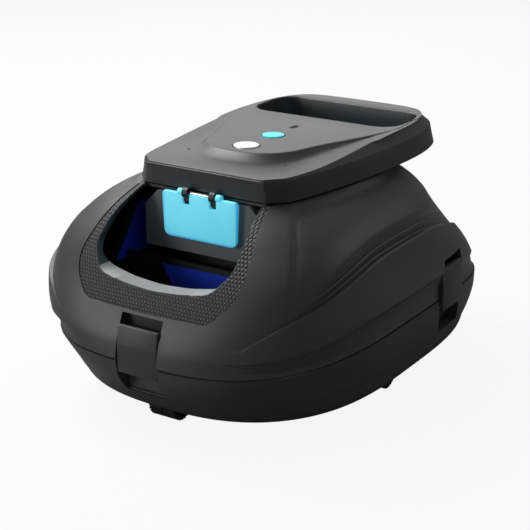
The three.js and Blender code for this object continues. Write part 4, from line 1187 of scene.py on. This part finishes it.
# %% Flaps
NOTCH, NOTCH_HALF, NOTCH_TOP = 14, 3.1, 178.1
FLAP_FOOT, FLAP_HEAD, FLAP_HALF = 147.0, 187.8, 39.5
FLAP_FACE, FLAP_THICK, FLAP_ROUND = -107.2, 3.4, 0.9
LUG_X, LUG_RADIUS, LUG_LENGTH, PIN_Y, PIN_Z = 19.8, 3.1, 5.2, -105.5, 188.5
half_outline = [(0, FLAP_HEAD), (NOTCH - NOTCH_HALF, FLAP_HEAD), (NOTCH - NOTCH_HALF, NOTCH_TOP),
                (NOTCH + NOTCH_HALF, NOTCH_TOP), (NOTCH + NOTCH_HALF, FLAP_HEAD)]
BENDS = (0, 0.4, 0.8, 1.2, 1.57)
corner = [(FLAP_HALF - 4 + 4 * math.sin(a), FLAP_HEAD - 4 + 4 * math.cos(a)) for a in BENDS]
foot_corner = [(FLAP_HALF - 7.5 + 6 * math.cos(a), FLAP_FOOT + 6 - 6 * math.sin(a)) for a in BENDS]
flap_outline = half_outline + corner + foot_corner
flap_outline = flap_outline + [(-x, z) for x, z in reversed(flap_outline) if x > 0]
for end, name in ((-1, "front"), (1, "rear")):
    leaf = slab(flap_outline, FLAP_THICK, FLAP_ROUND)
    bmesh.ops.translate(leaf, vec=(0, FLAP_FACE, 0), verts=leaf.verts)
    lugs = [rod(LUG_RADIUS, LUG_LENGTH, (s * LUG_X, PIN_Y, PIN_Z)) for s in (-1, 1)]
    leaf = flipped(merged(leaf, *lugs), end)
    piece("flap_leaf_" + name, leaf, "nozzle_flap_" + name, ["nozzle_flap_" + name], flap_finish)
lo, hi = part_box("nozzle_flap_front")
print("CAD flap box in mm:", [round(v * 1000, 1) for v in (*lo, *hi)])

# %% [markdown]
# A latch is a short extrusion with a crease: its lower half stands upright round the pin, and the
# upper half leans back for a finger. Light bevels on all edges make it read as moulded.

# %% Latches
LATCH_WIDTH = 40.8
LATCH_FACES = {"front": (0, -200), "rear": (0, 200), "right": (149, 92), "left": (-149, 92)}
LATCH_SHAPE = [(0, 54.4), (0, 80), (2.6, 96), (6.6, 96), (6.8, 80), (6.6, 55), (6, 54)]
for (name, middle, axis, sign), turns in zip(LATCHES, (0, 2, 1, 3)):
    bm = prism([(-LATCH_WIDTH / 2, y, z) for y, z in LATCH_SHAPE], (LATCH_WIDTH, 0, 0))
    hard = [e for e in bm.edges if e.calc_face_angle(0) > math.radians(8)]
    bmesh.ops.bevel(bm, geom=hard, offset=0.55, affect="EDGES", segments=2, profile=0.5, material=-1)
    bmesh.ops.rotate(bm, cent=(0, 0, 0), matrix=Matrix.Rotation(turns * math.pi / 2, 3, "Z"), verts=bm.verts)
    bmesh.ops.translate(bm, vec=(*LATCH_FACES[name], 0), verts=bm.verts)
    piece("latch_bar_" + name, bm, "latch_" + name, ["latch_" + name], tray_finish)

# %% [markdown]
# The tyres are turned from a profile. Then every second face round the rim is pushed out, staggered
# between the two halves, which makes a tread with square blocks.

# %% Wheels
WHEELS = [("front", 0, -154, 30), ("rear", 0, 154, 30), ("right", 126, 0, 14), ("left", -126, 0, 14)]
AXLE_Z, TYRE, BLOCK, FACETS = 14, 12.9, 1.0, 48
FACET = 360 / FACETS
for name, x, y, width in WHEELS:
    half = width / 2
    profile = [(2.4, -half), (9, -half), (9.6, -half + 0.8), (11.6, -half + 0.8), (TYRE, -half + 1.6),
               (TYRE, 0), (TYRE, half - 1.6), (11.6, half - 0.8), (9.6, half - 0.8), (9, half), (2.4, half)]
    bm = lathe(profile, FACETS)
    bm.normal_update()
    tread = []
    for face in bm.faces:
        c = face.calc_center_median()
        turn = int(round((math.degrees(math.atan2(c.y, c.x)) % 360 - FACET / 2) / FACET))
        if math.hypot(c.x, c.y) > TYRE - 0.2 and (turn + (1 if c.z > 0 else 0)) % 2 == 0:
            tread.append(face)
    grown = bmesh.ops.extrude_discrete_faces(bm, faces=tread)["faces"]
    for face in grown:
        for vertex in face.verts:
            out = Vector((vertex.co.x, vertex.co.y, 0)).normalized()
            vertex.co += out * BLOCK
    bmesh.ops.rotate(bm, cent=(0, 0, 0), matrix=Matrix.Rotation(math.pi / 2, 3, "Y"), verts=bm.verts)
    bmesh.ops.translate(bm, vec=(x, y, AXLE_Z), verts=bm.verts)
    piece("tyre_" + name, bm, "wheel_" + name, ["wheel_" + name], rubber_finish)

# %% [markdown]
# Both discs are turned parts, slightly domed, with a small round at the rim that catches light.

# %% Button and cap
def disc(profile, y):
    """A turned disc on the middle line, its profile measured from the module's top."""
    bm = lathe(profile, 64)
    bmesh.ops.translate(bm, vec=(0, y, TOP), verts=bm.verts)
    return bm


button = disc([(0, -12), (4, -12), (4, -2.6), (11.5, -2.6), (11.7, -2.3), (11.7, 0.3), (11.4, 0.75),
               (10.8, 0.95), (9.0, 1.05), (5, 1.15), (0, 1.2)], BUTTON_Y)
piece("button_disc", button, "power_button", ["power_button"], silver_finish)
cap = disc([(0, -6.7), (5.4, -6.7), (5.4, -3.7), (10.2, -3.7), (10.4, -3.4), (10.4, 0.1),
            (10.1, 0.55), (9.4, 0.75), (6, 0.92), (0, 1.0)], CAP_Y)
piece("cap_disc", cap, "charge_cap", ["charge_cap"], cyan_finish)

# %% [markdown]
# Under the button sits a coil spring. The real one gets shorter as the button goes down; this one keeps its
# length and rides on the upper body.

# %% Spring
SPRING_FOOT, SPRING_HEAD, WIRE, COIL, TURNS = 208.6, 213.4, 0.45, 7.5, 3
coil = bmesh.new()
bmesh.ops.create_circle(coil, cap_ends=True, segments=10, radius=WIRE,
                        matrix=Matrix.Translation((COIL, 0, 0)) @ Matrix.Rotation(math.pi / 2, 4, "X"))
STEPS = TURNS * 24
climb_each = (SPRING_HEAD - SPRING_FOOT - 2 * WIRE) / STEPS
bmesh.ops.spin(coil, geom=coil.faces[:], cent=(0, 0, 0), axis=(0, 0, 1), dvec=(0, 0, climb_each),
               angle=TURNS * 2 * math.pi, steps=STEPS, use_merge=False, use_duplicate=False)
bmesh.ops.recalc_face_normals(coil, faces=coil.faces)
bmesh.ops.translate(coil, vec=(0, BUTTON_Y, SPRING_FOOT + WIRE), verts=coil.verts)
spring = piece("button_coil", coil, "upper", ["button_spring"], steel_finish)
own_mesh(spring)
